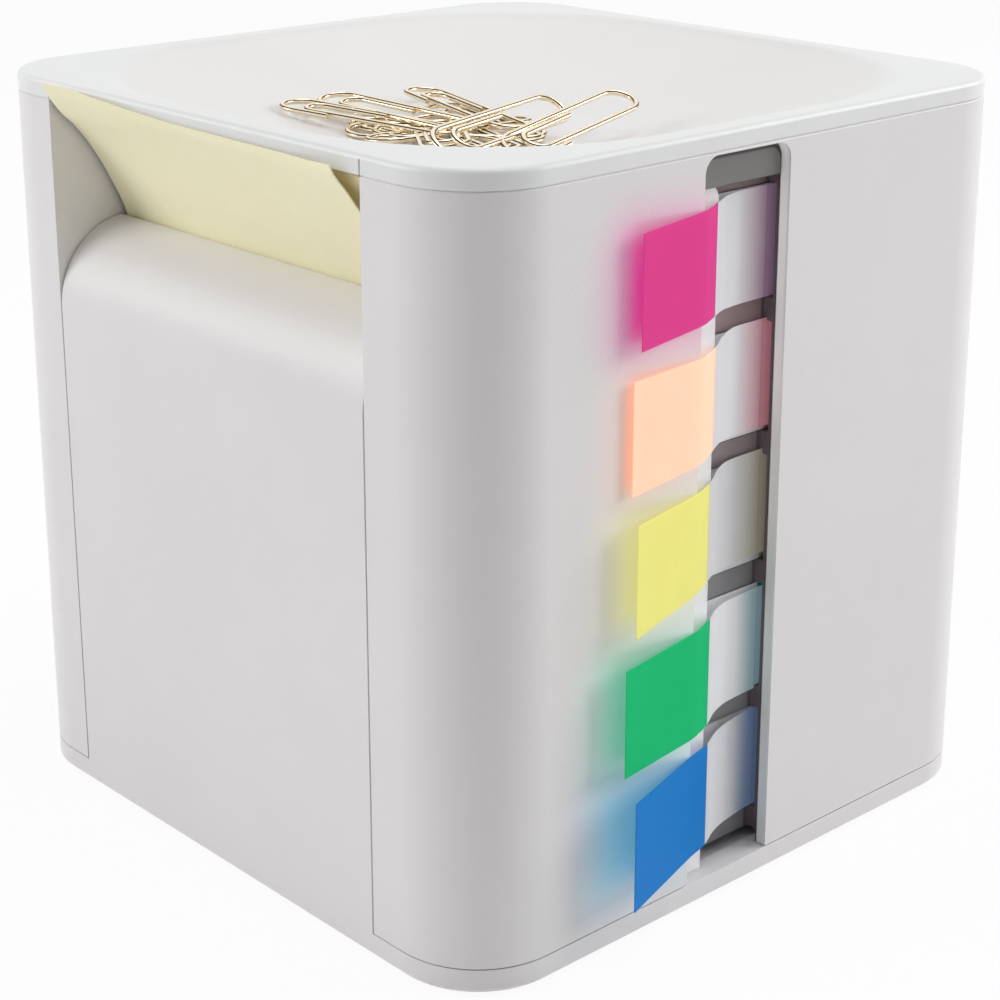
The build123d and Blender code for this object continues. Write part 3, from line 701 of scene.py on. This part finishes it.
def top_edge(share):
    """Where the note's top edge is at a share of its width, easing from one place to the next."""
    for (low, ya, za), (high, yb, zb) in zip(note_top, note_top[1:]):
        if share <= high:
            t = (share - low) / (high - low)
            t = t * t * (3 - 2 * t)
            return ya + (yb - ya) * t, za + (zb - za) * t
    return note_top[-1][1:]


def note_sheet(name, set_back, drop, shift, paper):
    """One popped note. A sheet behind it is set back, lower and shifted by these lengths."""
    columns = []
    for n in range(note_columns + 1):
        share = n / note_columns
        x = note_left_x + (note_right_x - note_left_x) * share + shift
        bow = math.sin(math.pi * share)
        places = []
        for k, (left_y, left_z, right_y, right_z) in enumerate(note_rows):
            rise = max(0.0, k / (len(note_rows) - 1) - flat_share) / (1 - flat_share)
            y = left_y + (right_y - left_y) * share + bow_forward * bow * rise**2
            z = left_z + (right_z - left_z) * share + bow_up * bow * rise**2
            places.append(Vector((x, y + set_back * (0.12 + 0.88 * rise), z - drop * rise)))
        y, z = top_edge(share)
        top = Vector((x, y + set_back, z - drop if drop == 0 else min(z - drop, note_ceiling)))
        places.append(places[-1].lerp(top, 0.6) + Vector((0, -0.0003, 0)))
        places.append(top)
        columns.append(spread(places, note_steps))
    sheet = piece_of(sheet_form(columns), name)
    thicken(sheet, note_thickness, paper.material)
    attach(sheet, "base")
    return sheet


note_yellow = note_paper("note_yellow", (0.945, 0.900, 0.650), (0.915, 0.865, 0.600))
# The sheet behind has painted shade and painted light: a darker copy of the note paper with a faint
# warm glow, for paper that stands in the shade.
next_note_painted_light = {"Emission_Color": (0.85, 0.66, 0.30, 1.0), "Emission_Strength": 0.10}
shade_tones = (0.620, 0.560, 0.350), (0.580, 0.520, 0.310)
shaded_paper = note_paper("shaded_paper", *shade_tones, **next_note_painted_light)
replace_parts(note_sheet("leaning_note", 0.0, 0.0, 0.0, note_yellow), "popped_note")
note_sheet("next_note", 0.0030, 0.0012, 0.0030, shaded_paper)

# Clear strip
# A strip of clear acrylic along the cassette's open side. The flags are drawn over its edge, and
# its front top corner is rounded.
# Painted light: the whole strip glows faintly white.
strip_painted_light = {"Emission_Color": (1.0, 1.0, 1.0, 1.0), "Emission_Strength": 0.14}
clear = Finish("clear_acrylic", Specular_IOR_Level=0.6, Roughness=0.08, Alpha=0.55, **strip_painted_light)
clear.feed(Base_Color=clear.mix(clear.noise(80.0), (0.90, 0.90, 0.92), (0.97, 0.97, 0.98)))
moulding("flag_guard", "clear_strip", "base", 0.00012, clear, "clear_plastic", segments=2)

# The five flags
# Thin polyester film, white along its body and coloured over its tip. Each is drawn out over the
# strip's edge and the slot's left side, and no two tips stand quite alike.
flag_height = 0.0179
film_thickness = 0.00015
flag_lies = {
    # body's bottom z and extra bow; colour's start y, top and bottom z; tip's end x, y, top and
    # bottom z, all in millimetres
    "pink": (97.9, 0.0, -10.9, 115.9, 98.5, 64.3, -30.55, 115.15, 97.66),
    "peach": (76.5, 0.0, -9.9, 93.3, 76.8, 63.3, -31.0, 92.98, 75.28),
    "yellow": (54.8, 0.0, -10.9, 71.8, 55.6, 65.5, -31.9, 71.61, 53.64),
    "green": (30.9, 0.3, -9.4, 48.6, 30.3, 65.8, -34.1, 49.19, 31.53),
    "blue": (9.5, 0.9, -9.8, 27.2, 9.3, 68.6, -34.4, 28.50, 10.10),
}
film_line = [
    # x and y from the pad's face, over the strip's edge and past the slot's left side
    (56.45, 12.6),
    (56.47, 8.0),
    (56.50, 4.0),
    (56.62, -1.0),
    (57.00, -3.9),
    (57.75, -6.2),
    (58.90, -8.3),
    (60.10, -10.5),
    (61.30, -13.1),
    (62.25, -15.9),
]
# Emission over each dyed tip: partly the fluorescent dye, partly painted light that also lights the
# shell beside it.
tip_fluorescence_and_light = {"pink": 0.20, "peach": 0.34, "yellow": 0.14, "green": 0.06, "blue": 0.08}
# Painted light: emission that brightens each film's white body.
body_painted_light = {"pink": 0.10, "peach": 0.12, "yellow": 0.02, "green": 0.12, "blue": 0.0}
tail_starts = {"pink": 0.0046, "peach": 0.0045, "yellow": 0.0050, "green": 0.0055, "blue": 0.0058}
# Each film's tail at the slot's right side shows the pad's dyed end behind it, darkened with
# painted shade from the slot's right side.
shaded_tail_dyes = {
    "pink": (0.68, 0.40, 0.50),
    "peach": (0.74, 0.44, 0.48),
    "yellow": (0.60, 0.58, 0.48),
    "green": (0.32, 0.46, 0.46),
    "blue": (0.18, 0.28, 0.52),
}
# Painted light: emission that lifts each tail out of the shade.
tail_painted_light = {
    "pink": (0.045, 0.035, 0.060),
    "peach": (0.140, 0.055, 0.070),
    "yellow": (0.070, 0.060, 0.045),
    "green": (0.080, 0.120, 0.135),
    "blue": (0.037, 0.054, 0.083),
}
film_steps, film_rows = 72, 8
ease_length = 0.009
bulge_middle, bulge_half = -5.5, 8.0
dye_line, tail_edge_line = 0.0003, 0.00022
painted_shade_full_y, painted_shade_clear_y, fade_end_y = -0.0090, -0.0025, 0.0046
painted_left_shade_tone = (0.75, 0.75, 0.775)
mm = 0.001


def film_finish(colour):
    """Film pearly along its body and dyed over its tip, with painted shade and painted light on
    body and tail.
    """
    rgb = flag_colours[colour]
    film = Finish(f"film_{colour}", Specular_IOR_Level=0.12, Emission_Strength=1.0)
    past = film.node("ShaderNodeAttribute", output="Fac", attribute_name="along")
    dyed = past.over(0.0)
    dye_edge = 1 - (past - 0.0001).size().ramp(0.0001, dye_line)
    streak = film.noise(240.0, 3.0)
    tint = film.mix(streak.ramp(0.3, 0.7), [0.95 * c for c in rgb], rgb)
    pearl = film.mix(streak, film_deep, film_pale)
    tail_y, tail_start, shaded_tail_dye = film.axes()[1], tail_starts[colour], shaded_tail_dyes[colour]
    fade_from = 0.0 if colour in ("green", "blue") else -0.0018
    # Painted shade: the film fades into its shaded tail colour towards the slot's right side.
    fading = tail_y.ramp(fade_from, fade_end_y) * 0.85
    tail = fading.math("MAXIMUM", tail_y.over(tail_start), fading)
    # A thin darker line along the left edge of the tail band.
    tail_edge = 1 - (tail_y - tail_start).size().ramp(0.00008, tail_edge_line)
    # Painted shade: the white body grows darker from where it leaves the pad towards the strip's
    # edge.
    painted_left_shade = 1 - tail_y.ramp(painted_shade_full_y, painted_shade_clear_y)
    body = film.mix(tail, film.mix(painted_left_shade, pearl, painted_left_shade_tone), shaded_tail_dye)
    body = film.mix(tail_edge * 0.7, body, [0.7 * c for c in shaded_tail_dye])
    flat = film.mix(dyed, body, tint)
    film.feed(Base_Color=film.mix(dye_edge * 0.6, flat, [0.45 * c + 0.05 for c in rgb]))
    # Painted light on the white body, as emission, weaker under its painted shade.
    glow = body_painted_light[colour]
    lit_body = film.mix(painted_left_shade, (glow,) * 3, (0.4 * glow,) * 3)
    lit_body = film.mix(tail, lit_body, tail_painted_light[colour])
    film.feed(Emission_Color=film.mix(dyed, lit_body, [tip_fluorescence_and_light[colour] * c for c in rgb]))
    film.feed(Roughness=0.45 + 0.12 * streak)
    film.relief(streak, 0.00001)
    film.lets_through((0.95, 0.95, 0.97), (1 - dyed) * 0.20)
    film.lets_through([0.25 + 0.75 * c for c in rgb], dyed * 0.38)
    return film


for colour, lie in flag_lies.items():
    low, bow, start_y, start_top, start_low, end_x, end_y, end_top, end_low = (v * mm for v in lie)
    spine = []
    for x, y in film_line:
        bulge = max(0.0, 1 - ((y - bulge_middle) / bulge_half) ** 2)
        spine.append(Vector((x * mm + bow * bulge, y * mm, 0)))
    spine += [spine[-1].lerp(Vector((end_x, end_y, 0)), share) for share in (0.5, 1.0)]
    line = spread(spine, film_steps)
    run = [0.0]
    for a, b in zip(line, line[1:]):
        run.append(run[-1] + (b - a).length)
        if a.y >= start_y > b.y:
            start_run = run[-2] + (run[-1] - run[-2]) * (a.y - start_y) / (a.y - b.y)
    columns = []
    for point, r in zip(line, run):
        ease = min(max((r - start_run) / ease_length + 1, 0.0), 1.0)
        ease = ease * ease * (3 - 2 * ease)
        past = max(0.0, (r - start_run) / (run[-1] - start_run))
        top = low + flag_height + (start_top - low - flag_height) * ease
        top += (end_top - start_top) * past
        bottom = low + (start_low - low) * ease + (end_low - start_low) * past
        heights = [bottom + (top - bottom) * k / film_rows for k in range(film_rows + 1)]
        columns.append([Vector((point.x, point.y, height)) for height in heights])
    flag = piece_of(sheet_form(columns), f"film_flag_{colour}")
    along = flag.data.attributes.new("along", "FLOAT", "POINT")
    for n, r in enumerate(run):
        for k in range(film_rows + 1):
            along.data[n * (film_rows + 1) + k].value = r - start_run
    thicken(flag, film_thickness, film_finish(colour).material)
    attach(flag, "base")
    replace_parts(flag, f"flag_{colour}")

# Cover shell
# The square tube of the cover, injection moulded in white ABS, with its two openings. Beside the
# slot it has painted light round each flag tip, a soft coloured tint and a little glow, for the
# light that the film throws on it.
shell_tones = (0.790, 0.772, 0.772), (0.768, 0.746, 0.750)
shell_white = white_abs("shell_abs", *shell_tones, Emission_Strength=1.0)
x, y, z = shell_white.axes()
colour_with_painted_glow = shell_white.colour
lit = (0.0, 0.0, 0.0)
halo_light = {
    "pink": (0.19, 0.0, 0.13),
    "peach": (0.15, 0.04, 0.02),
    "yellow": (0.12, 0.13, 0.11),
    "green": (0.08, 0.17, 0.19),
    "blue": (0.04, 0.18, 0.16),
}
# Painted light round each flag tip: a pale tint of the flag's colour and a little emission, fading
# with distance from the tip.
outside = x.ramp(0.0575, 0.0605)
tint_reach, film_leaves_y = 0.0115, -0.0140
for colour, lie in flag_lies.items():
    end_x, end_y, end_top, end_low = (v * mm for v in lie[5:])
    middle_y, half_y = (end_y + film_leaves_y) / 2, (film_leaves_y - end_y) / 2
    middle_z, half_z = (end_top + end_low) / 2, (end_top - end_low) / 2
    past_y = ((y - middle_y).size() - half_y + 0.001).at_least(0.0)
    past_z = ((z - middle_z).size() - half_z + 0.0035).at_least(0.0)
    halo = (1 - apart(past_y, past_z).ramp(0.0, tint_reach)) ** 1.7 * outside
    pale = [0.35 * 0.78 + 0.65 * c for c in flag_colours[colour]]
    colour_with_painted_glow = shell_white.mix(halo * (0.85 if colour == "pink" else 0.50), colour_with_painted_glow, pale)
    lit = shell_white.mix(halo, lit, halo_light[colour])
slot_left_y, slot_right_y = -0.0157, 0.0036
slot_middle, slot_half = (slot_right_y + slot_left_y) / 2, (slot_right_y - slot_left_y) / 2
beside_slot = ((y - slot_middle).size() - slot_half).ramp(0.0, 0.0001)
in_slot = (1 - beside_slot) * (1 - z.ramp(0.1232, 0.1240))
# Painted shade and light on the wall's cut face inside the slot: near black at its back, grey that
# grows paler further up, and a painted glow that grows further up.
inner_face = in_slot * x.over(0.0590) * (1 - x.ramp(0.0615, 0.0619))
near_outside, further_up = x.ramp(0.0600, 0.0602), z.ramp(0.050, 0.115)
painted_cut_face_shade = shell_white.mix(further_up, (0.56, 0.57, 0.58), (0.76, 0.75, 0.75))
lip = shell_white.mix(near_outside, (0.05, 0.04, 0.05), painted_cut_face_shade)
shell_white.feed(Base_Color=shell_white.mix(inner_face, colour_with_painted_glow, lip))
painted_cut_face_light = shell_white.mix(further_up, (0.07, 0.07, 0.07), (0.17, 0.165, 0.16))
shell_white.feed(Emission_Color=shell_white.mix(inner_face * near_outside, lit, painted_cut_face_light))
moulding("cover_shell", "shell_moulding", "cover", 0.0004, shell_white, "shell_plastic")

# Lid with the clip dish
# A separate white moulding on top of the shell. Its rim is flat, and the dish falls from a soft
# rounded mouth to a flat floor. Below are a skirt, four screw bosses and the magnet's collar.
lid_low, lid_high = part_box("lid_tray")
lid_half = (lid_high.x - lid_low.x) / 2
lid_top = lid_high.z
lid_thickness = 0.0031
lid_corner = 0.0155
lid_edge, seam_edge = 0.0009, 0.0003
mouth_half = lid_half - 0.005
mouth_corner = 0.039
mouth_soft = 0.0016
dish_depth = 0.0128
dish_floor = 0.1161
floor_blend = 0.00012
dish_wall, wall_growth = 0.0022, 0.0008
magnet_ceiling, magnet_share = 0.0016, 0.24
corner_steps = 28
side_steps = 14


def ring(half, corner, height):
    """One rounded square of points, always the same number, going round from +X."""
    points = []
    straight = half - corner
    for turn in range(4):
        angle = turn * quarter
        middle = Matrix.Rotation(angle, 3, "Z") @ Vector((straight, straight, 0))
        for k in range(corner_steps + 1):
            a = angle + quarter * k / corner_steps
            points.append(middle + corner * Vector((math.cos(a), math.sin(a), 0)))
        start = points[-1].copy()
        turned = Matrix.Rotation(angle + quarter, 3, "Z")
        end = turned @ Vector((straight + corner, straight, 0))
        for k in range(1, side_steps):
            points.append(start.lerp(end, k / side_steps))
    return [Vector((p.x, p.y, height)) for p in points]


def ring_form(rings, capped=True):
    """A bmesh skin over rings of points. Its ends are capped, or the last ring joins the first."""
    form = bmesh.new()
    loops = [[form.verts.new(point) for point in each] for each in rings]
    for outer, inner in zip(loops, loops[1:] if capped else loops[1:] + loops[:1]):
        for n in range(len(outer)):
            m = (n + 1) % len(outer)
            form.faces.new((outer[n], outer[m], inner[m], inner[n]))
    for loop in (loops[0], loops[-1]) if capped else ():
        centre = form.verts.new(sum((v.co for v in loop), Vector()) / len(loop))
        for n in range(len(loop)):
            form.faces.new((loop[n], loop[(n + 1) % len(loop)], centre))
    bmesh.ops.remove_doubles(form, verts=form.verts, dist=1e-7)
    bmesh.ops.recalc_face_normals(form, faces=form.faces)
    return form


def dish_height(share):
    """Height of the dish where its outline is this share of the mouth. It ends in a flat floor."""
    bowl = lid_top - dish_depth * (1 - share**2.0)
    return (bowl + dish_floor) / 2 + math.hypot((bowl - dish_floor) / 2, floor_blend)


def dish_ring(share, drop, growth=0.0):
    """The dish's outline at a share of its mouth, lower by the drop and wider by the growth."""
    half = mouth_half * share + growth
    squareness = mouth_corner / mouth_half
    corner = half * (squareness + (1 - squareness) * (1 - share) ** 0.8)
    return ring(half, min(corner, half * 0.999), dish_height(share) - drop)


def lid_ring(inset, height):
    """The lid's outer outline, drawn in by the inset."""
    return ring(lid_half - inset, lid_corner - inset, height)


seam = lid_top - lid_thickness
mouth_drop = dish_depth / mouth_half * mouth_soft
lid_rings = []
for share in (1.0 - 0.05 * n for n in range(19, 0, -1)):
    wall = magnet_ceiling if share < magnet_share else dish_wall
    lid_rings.append(dish_ring(share, wall, wall_growth))
lid_rings += [ring(mouth_half + 0.0002, mouth_corner, seam), lid_ring(seam_edge, seam)]
for a in (quarter * k / 4 for k in range(5)):
    inset, rise = seam_edge * (1 - math.sin(a)), seam_edge * (1 - math.cos(a))
    lid_rings.append(lid_ring(inset, seam + rise))
for a in (quarter * k / 8 for k in range(9)):
    inset, fall = lid_edge * (1 - math.cos(a)), lid_edge * (1 - math.sin(a))
    lid_rings.append(lid_ring(inset, lid_top - fall))
for share in (k / 6 for k in range(7)):
    corner = mouth_corner + (lid_corner - mouth_corner) * 0.04 * (1 - share)
    half = mouth_half + mouth_soft * (1 - share)
    lid_rings.append(ring(half, corner, lid_top - mouth_drop * share**2))
for share in (1.0 - 0.0125 * n for n in range(1, 80)):
    lid_rings.append(dish_ring(share, mouth_drop * share**4))
lid = piece_of(ring_form(lid_rings), "lid_moulding")


def cut_blocks(piece, blocks):
    """Cut boxes out of a piece, each given by its lowest and highest corners."""
    form = bmesh.new()
    for low, high in blocks:
        add_box(form, low, high)
    cutter = piece_of(form, "cutter")
    cut = piece.modifiers.new("cut", "BOOLEAN")
    cut.operation = "DIFFERENCE"
    cut.solver = "EXACT"
    cut.object = cutter
    finished(piece)
    bpy.data.objects.remove(cutter)


window_sides = (-0.0413, 0.0395)
slit_half, slit_depth = 0.000175, 0.001
slit_low = (lid_low.y - 0.001, seam - 0.001)
slit_high = (lid_low.y + slit_depth, lid_top - 0.0007)
slits = [((x - slit_half, *slit_low), (x + slit_half, *slit_high)) for x in window_sides]
cut_blocks(lid, slits)
lid.data.shade_smooth()
lid.data.set_sharp_from_angle(angle=math.radians(50))
normals = lid.modifiers.new("normals", "WEIGHTED_NORMAL")
normals.weight = 60
normals.keep_sharp = True
lid_white = white_abs("lid_abs", (0.815, 0.822, 0.820), (0.790, 0.796, 0.796), 0.33)
x, y, z = lid_white.axes()
farther = x.size().math("MAXIMUM", x.size(), y.size())
rim_start, rim_end, dish_under = 0.1262, 0.1269, 0.1150
below_rim = (1 - z.ramp(rim_start, rim_end)) * z.over(dish_under)
in_dish = below_rim * (1 - farther.over(mouth_half))
# Painted shade and light in the dish: darker towards the +X, -Y corner and paler towards the -X, +Y
# corner.
dish_painted_shade = lid_white.mix((y - x).ramp(-0.060, 0.050), (0.735, 0.728, 0.724), (0.850, 0.838, 0.828))
lid_white.feed(Base_Color=lid_white.mix(in_dish, lid_white.colour, dish_painted_shade))
finished(lid, lid_white.material)
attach(lid, "cover")
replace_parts(lid, "lid_tray")

skirt_depth, skirt_inset = 0.0024, 0.0024
skirt_low, skirt_top = seam - skirt_depth, seam + 0.0001
skirt_half, skirt_corner, skirt_wall = lid_half - skirt_inset, 0.0131, 0.0016


def tube(outer, inner, low, high, at=(0.0, 0.0)):
    """A ring-shaped wall. outer and inner are each half a width and a corner radius."""
    loops = [ring(*outer, low), ring(*outer, high), ring(*inner, high), ring(*inner, low)]
    shift = Vector((*at, 0))
    return ring_form([[point + shift for point in loop] for loop in loops], capped=False)


skirt_inner = (skirt_half - skirt_wall, skirt_corner - skirt_wall)
skirt = piece_of(tube((skirt_half, skirt_corner), skirt_inner, skirt_low, skirt_top), "lid_skirt")
gap_low = (window_sides[0] - 0.001, lid_low.y, skirt_low - 0.001)
gap_high = (window_sides[1] + 0.001, lid_low.y + 0.0055, seam - 0.00005)
cut_blocks(skirt, [(gap_low, gap_high)])
boss_radius, boss_bore = 0.0034, 0.00118
magnet_gap, magnet_wall = 0.00015, 0.00265
magnet_low, magnet_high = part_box("dish_magnet")
pocket = (magnet_high.x - magnet_low.x) / 2 + magnet_gap
collar_low, collar_high = magnet_low.z - 0.0002, magnet_high.z + 0.0006
collars = [(pocket + magnet_wall, pocket, collar_low, collar_high, (0.0, 0.0))]
for a, b in solid_boxes("lid_screws", 4):
    middle = ((a.x + b.x) / 2, (a.y + b.y) / 2)
    collars.append((boss_radius, boss_bore, skirt_low, skirt_top, middle))
lid_parts = [skirt]
for n, (outer, inner, low, high, middle) in enumerate(collars):
    form = tube((outer, outer), (inner, inner), low, high, middle)
    lid_parts.append(piece_of(form, f"lid_collar_{n}"))
for part in lid_parts:
    rounded(part, 0.00015, segments=2)
    finished(part, lid_white.material)
    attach(part, "cover")

# Dish magnet and its cap
# A sintered ferrite disc in a pocket under the dish, which holds the clips, and the moulded disc
# that is pressed on below to keep it there.
ferrite = Finish("ferrite", Specular_IOR_Level=0.5)
crumb = ferrite.noise(700.0, 5.0, 0.7)
ferrite.feed(Base_Color=ferrite.mix(crumb, (0.020, 0.020, 0.022), (0.065, 0.063, 0.060)))
ferrite.feed(Roughness=0.5 + 0.3 * crumb)
ferrite.relief(crumb, 0.00006)
moulding("dish_magnet", "ferrite_disc", "cover", 0.0002, ferrite, "magnet_ferrite")
moulding("magnet_cap", "magnet_cover", "cover", 0.0002, inner_grey, "inner_plastic")

# Paper clips
# Brass-plated steel wire, bent three times. A small heap of them lies loose in the dish, the upper
# ones propped on the dish's slope and on the others.
clip_length = 0.033
clip_width = 0.0078
clip_wire = 0.0010
clip_nests = (0.0007, 0.0014)
inner_setback = 0.0032
outer_end_x, inner_end_x = 0.006, -0.002


def clip_points():
    """The bends of one clip, flat, from one free end to the other."""
    outer = clip_width / 2
    middle, inner = (outer - nest for nest in clip_nests)
    right = clip_length / 2 - outer
    left = -clip_length / 2 + middle
    second = 2 * middle - outer
    points = [(outer_end_x, outer), (right, outer)]

    def bend(cx, cy, radius, start):
        for k in range(1, 17):
            a = start - math.pi * k / 16
            points.append((cx + radius * math.cos(a), cy + radius * math.sin(a)))

    bend(right, 0.0, outer, quarter)
    points.append((left, -outer))
    bend(left, middle - outer, middle, -quarter)
    points.append((right - inner_setback, second))
    bend(right - inner_setback, second - inner, inner, quarter)
    points.append((inner_end_x, second - 2 * inner))
    return [Vector((px, py, 0.0)) for px, py in points]


clip_curve = bpy.data.curves.new("clip_path", "CURVE")
clip_curve.dimensions = "3D"
clip_spline = clip_curve.splines.new("POLY")
bends = clip_points()
clip_spline.points.add(len(bends) - 1)
for point, place in zip(clip_spline.points, bends):
    point.co = (*place, 1.0)
clip_path = bpy.data.objects.new("clip_path", clip_curve)
bpy.context.scene.collection.objects.link(clip_path)

clip_tree = Tree("wire_clips", Path="Object", Wire="Float")
inputs = {"Object": clip_tree.given("Path")}
one_path = clip_tree.add("GeometryNodeObjectInfo", inputs, output="Geometry")
one_clip = clip_tree.wire(one_path, 12, clip_tree.given("Wire"))
turn = clip_tree.add(
    "GeometryNodeInputNamedAttribute", {"Name": "turn"}, data_type="FLOAT_VECTOR"
)
clip_tree.ends(one_clip, Rotation=turn)

clip_lies = [
    # outer end x, y, z, then inner end x, y, z in millimetres, and roll in degrees
    (19.5, -14.8, 118.0, 14.5, 17.6, 122.0, -17),
    (16.5, -27.0, 119.85, 10.5, 5.0, 121.3, -30),
    (-27.1, 5.1, 119.6, 5.5, -1.0, 117.9, 5),
    (-30.8, -12.5, 119.9, 1.5, -8.0, 118.3, -3),
    (-29.2, -22.4, 120.2, 0.8, -10.5, 117.7, 0),
    (-21.0, 5.0, 117.5, 11.0, -3.0, 116.75, 0),
    (-20.0, -14.0, 117.2, 12.0, -10.0, 116.75, 0),
    (-14.0, -21.0, 117.5, 9.0, 2.0, 117.0, -5),
    (-4.0, -24.0, 117.6, -2.0, 8.5, 117.2, 4),
    (19.0, -12.0, 117.1, -12.0, -3.0, 116.7, 0),
    (12.0, -22.0, 118.6, -14.0, -2.5, 117.4, 6),
]
middles, turns = [], []
for ax, ay, az, bx, by, bz, roll in clip_lies:
    a, b = Vector((ax, ay, az)) / 1000, Vector((bx, by, bz)) / 1000
    x_axis = (a - b).normalized()
    side = Vector((0, 0, 1)).cross(x_axis).normalized()
    up = x_axis.cross(side)
    turned = Matrix((x_axis, side, up)).transposed() @ Matrix.Rotation(math.radians(roll), 3, "X")
    middles.append((a + b) / 2)
    turns.append(turned.to_euler())
clips = points_piece("clip_heap", middles)
turn_values = clips.data.attributes.new("turn", "FLOAT_VECTOR", "POINT")
for item, value in zip(turn_values.data, turns):
    item.vector = value
brass = Finish("brass_plate", Metallic=1.0)
lustre = brass.noise(260.0, 3.0)
facing = brass.node("ShaderNodeTexCoord", output="Normal")
uprightness = brass.node("ShaderNodeSeparateXYZ", {0: facing}, output="Z")
# Painted reflection: a near-black band along each wire where its surface faces part way up.
painted_dark_reflection = 1 - (uprightness - 0.53).size().ramp(0.15, 0.26)
gold = brass.mix(lustre, (0.88, 0.74, 0.52), (0.97, 0.87, 0.70))
brass.feed(Base_Color=brass.mix(painted_dark_reflection, gold, (0.030, 0.020, 0.012)))
brass.feed(Roughness=0.14 + 0.10 * lustre)
clip_tree.grow(clips, Path=clip_path, Wire=clip_wire / 2, Material=brass.material)
bpy.data.objects.remove(clip_path)
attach(clips, "cover")
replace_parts(clips, "paper_clips")

# Studio
# A white sweep under and behind the box, two wide soft lights to its left and right, a soft top
# light, and an even white room. The camera has a long lens and stands a little above the box.
scene = bpy.context.scene
sweep_half = 6.0
corners = [(x * sweep_half, y * sweep_half, 0) for x, y in ((-1, -1), (1, -1), (1, 1), (-1, 1))]
floor_mesh = bpy.data.meshes.new("sweep")
floor_mesh.from_pydata(corners, [], [(0, 1, 2, 3)])
sweep = bpy.data.objects.new("sweep", floor_mesh)
scene.collection.objects.link(sweep)
sweep.location.z = -0.0001


def in_sight(tree):
    """1 for what the camera sees, straight on, in a reflection or through film, and 0 for light."""
    rays = tree.nodes.new("ShaderNodeLightPath").outputs
    kinds = ("Is Camera Ray", "Is Glossy Ray", "Is Transmission Ray")
    straight_on, mirrored, through = (Value(tree, rays[kind]) for kind in kinds)
    return straight_on.math("MAXIMUM", straight_on, mirrored.math("MAXIMUM", mirrored, through))


paper_white = Finish("sweep_white", Roughness=0.9, Specular_IOR_Level=0.0)
paper_tone = paper_white.mix(paper_white.noise(3.0), (0.90, 0.90, 0.90), (0.93, 0.93, 0.93))
paper_white.feed(Base_Color=paper_tone)
glow = paper_white.node("ShaderNodeEmission", {"Color": (1.0, 1.0, 1.0, 1.0), "Strength": 1.0})
paper_white.lay_over(in_sight(paper_white.tree) * 0.93, glow)
floor_mesh.materials.append(paper_white.material)

world = bpy.data.worlds.new("white_room")
scene.world = world
world.use_nodes = True
room = world.node_tree
room_light = 0.25
backdrop = room.nodes["Background"].inputs
backdrop["Color"].default_value = (1.0, 1.0, 1.0, 1.0)
level = room_light + (1 - room_light) * in_sight(room)
room.links.new(level.socket, backdrop["Strength"])


box_middle = Vector((0.0, 0.0, 0.06))
light_width = 0.8


def soft_light(name, place, power):
    """A wide square soft light that points at the middle of the box."""
    lamp = bpy.data.lights.new(name, "AREA")
    lamp.shape = "RECTANGLE"
    lamp.size = lamp.size_y = light_width
    lamp.energy = power
    holder = bpy.data.objects.new(name, lamp)
    holder.location = place
    holder.rotation_euler = (box_middle - place).to_track_quat("-Z", "Y").to_euler()
    scene.collection.objects.link(holder)


def around(azimuth, elevation, distance=1.3):
    """A place round the box. Azimuth 0 is before the note window, and 90 is to the left of it."""
    a, e = math.radians(azimuth), math.radians(elevation)
    flat = Vector((-math.sin(a), -math.cos(a), 0)) * math.cos(e)
    return box_middle + distance * (flat + Vector((0, 0, math.sin(e))))


soft_light("left_bank", around(39, 25), 8.6)
soft_light("right_bank", around(-148, 25), 9.9)
soft_light("top_bank", around(-135, 80), 5.3)

camera_data = bpy.data.cameras.new("camera")
camera_data.lens = 81.654
camera_data.sensor_width = 36.0
camera_data.shift_y = -0.12
camera = bpy.data.objects.new("camera", camera_data)
scene.collection.objects.link(camera)
camera_place = (0.281006, -0.255916, 0.190943)
yaw, pitch, tilt = (math.radians(a) for a in (47.62, 17.34, -0.032))
back = Vector((math.sin(yaw) * math.cos(pitch), -math.cos(yaw) * math.cos(pitch), math.sin(pitch)))
right = Vector((math.cos(yaw), math.sin(yaw), 0))
upward = back.cross(right)
looking = Matrix((right, upward, back)).transposed() @ Matrix.Rotation(tilt, 3, "Z")
camera.matrix_world = Matrix.Translation(camera_place) @ looking.to_4x4()
camera_data.clip_start = 0.01
scene.camera = camera
scene.view_settings.view_transform = "Standard"
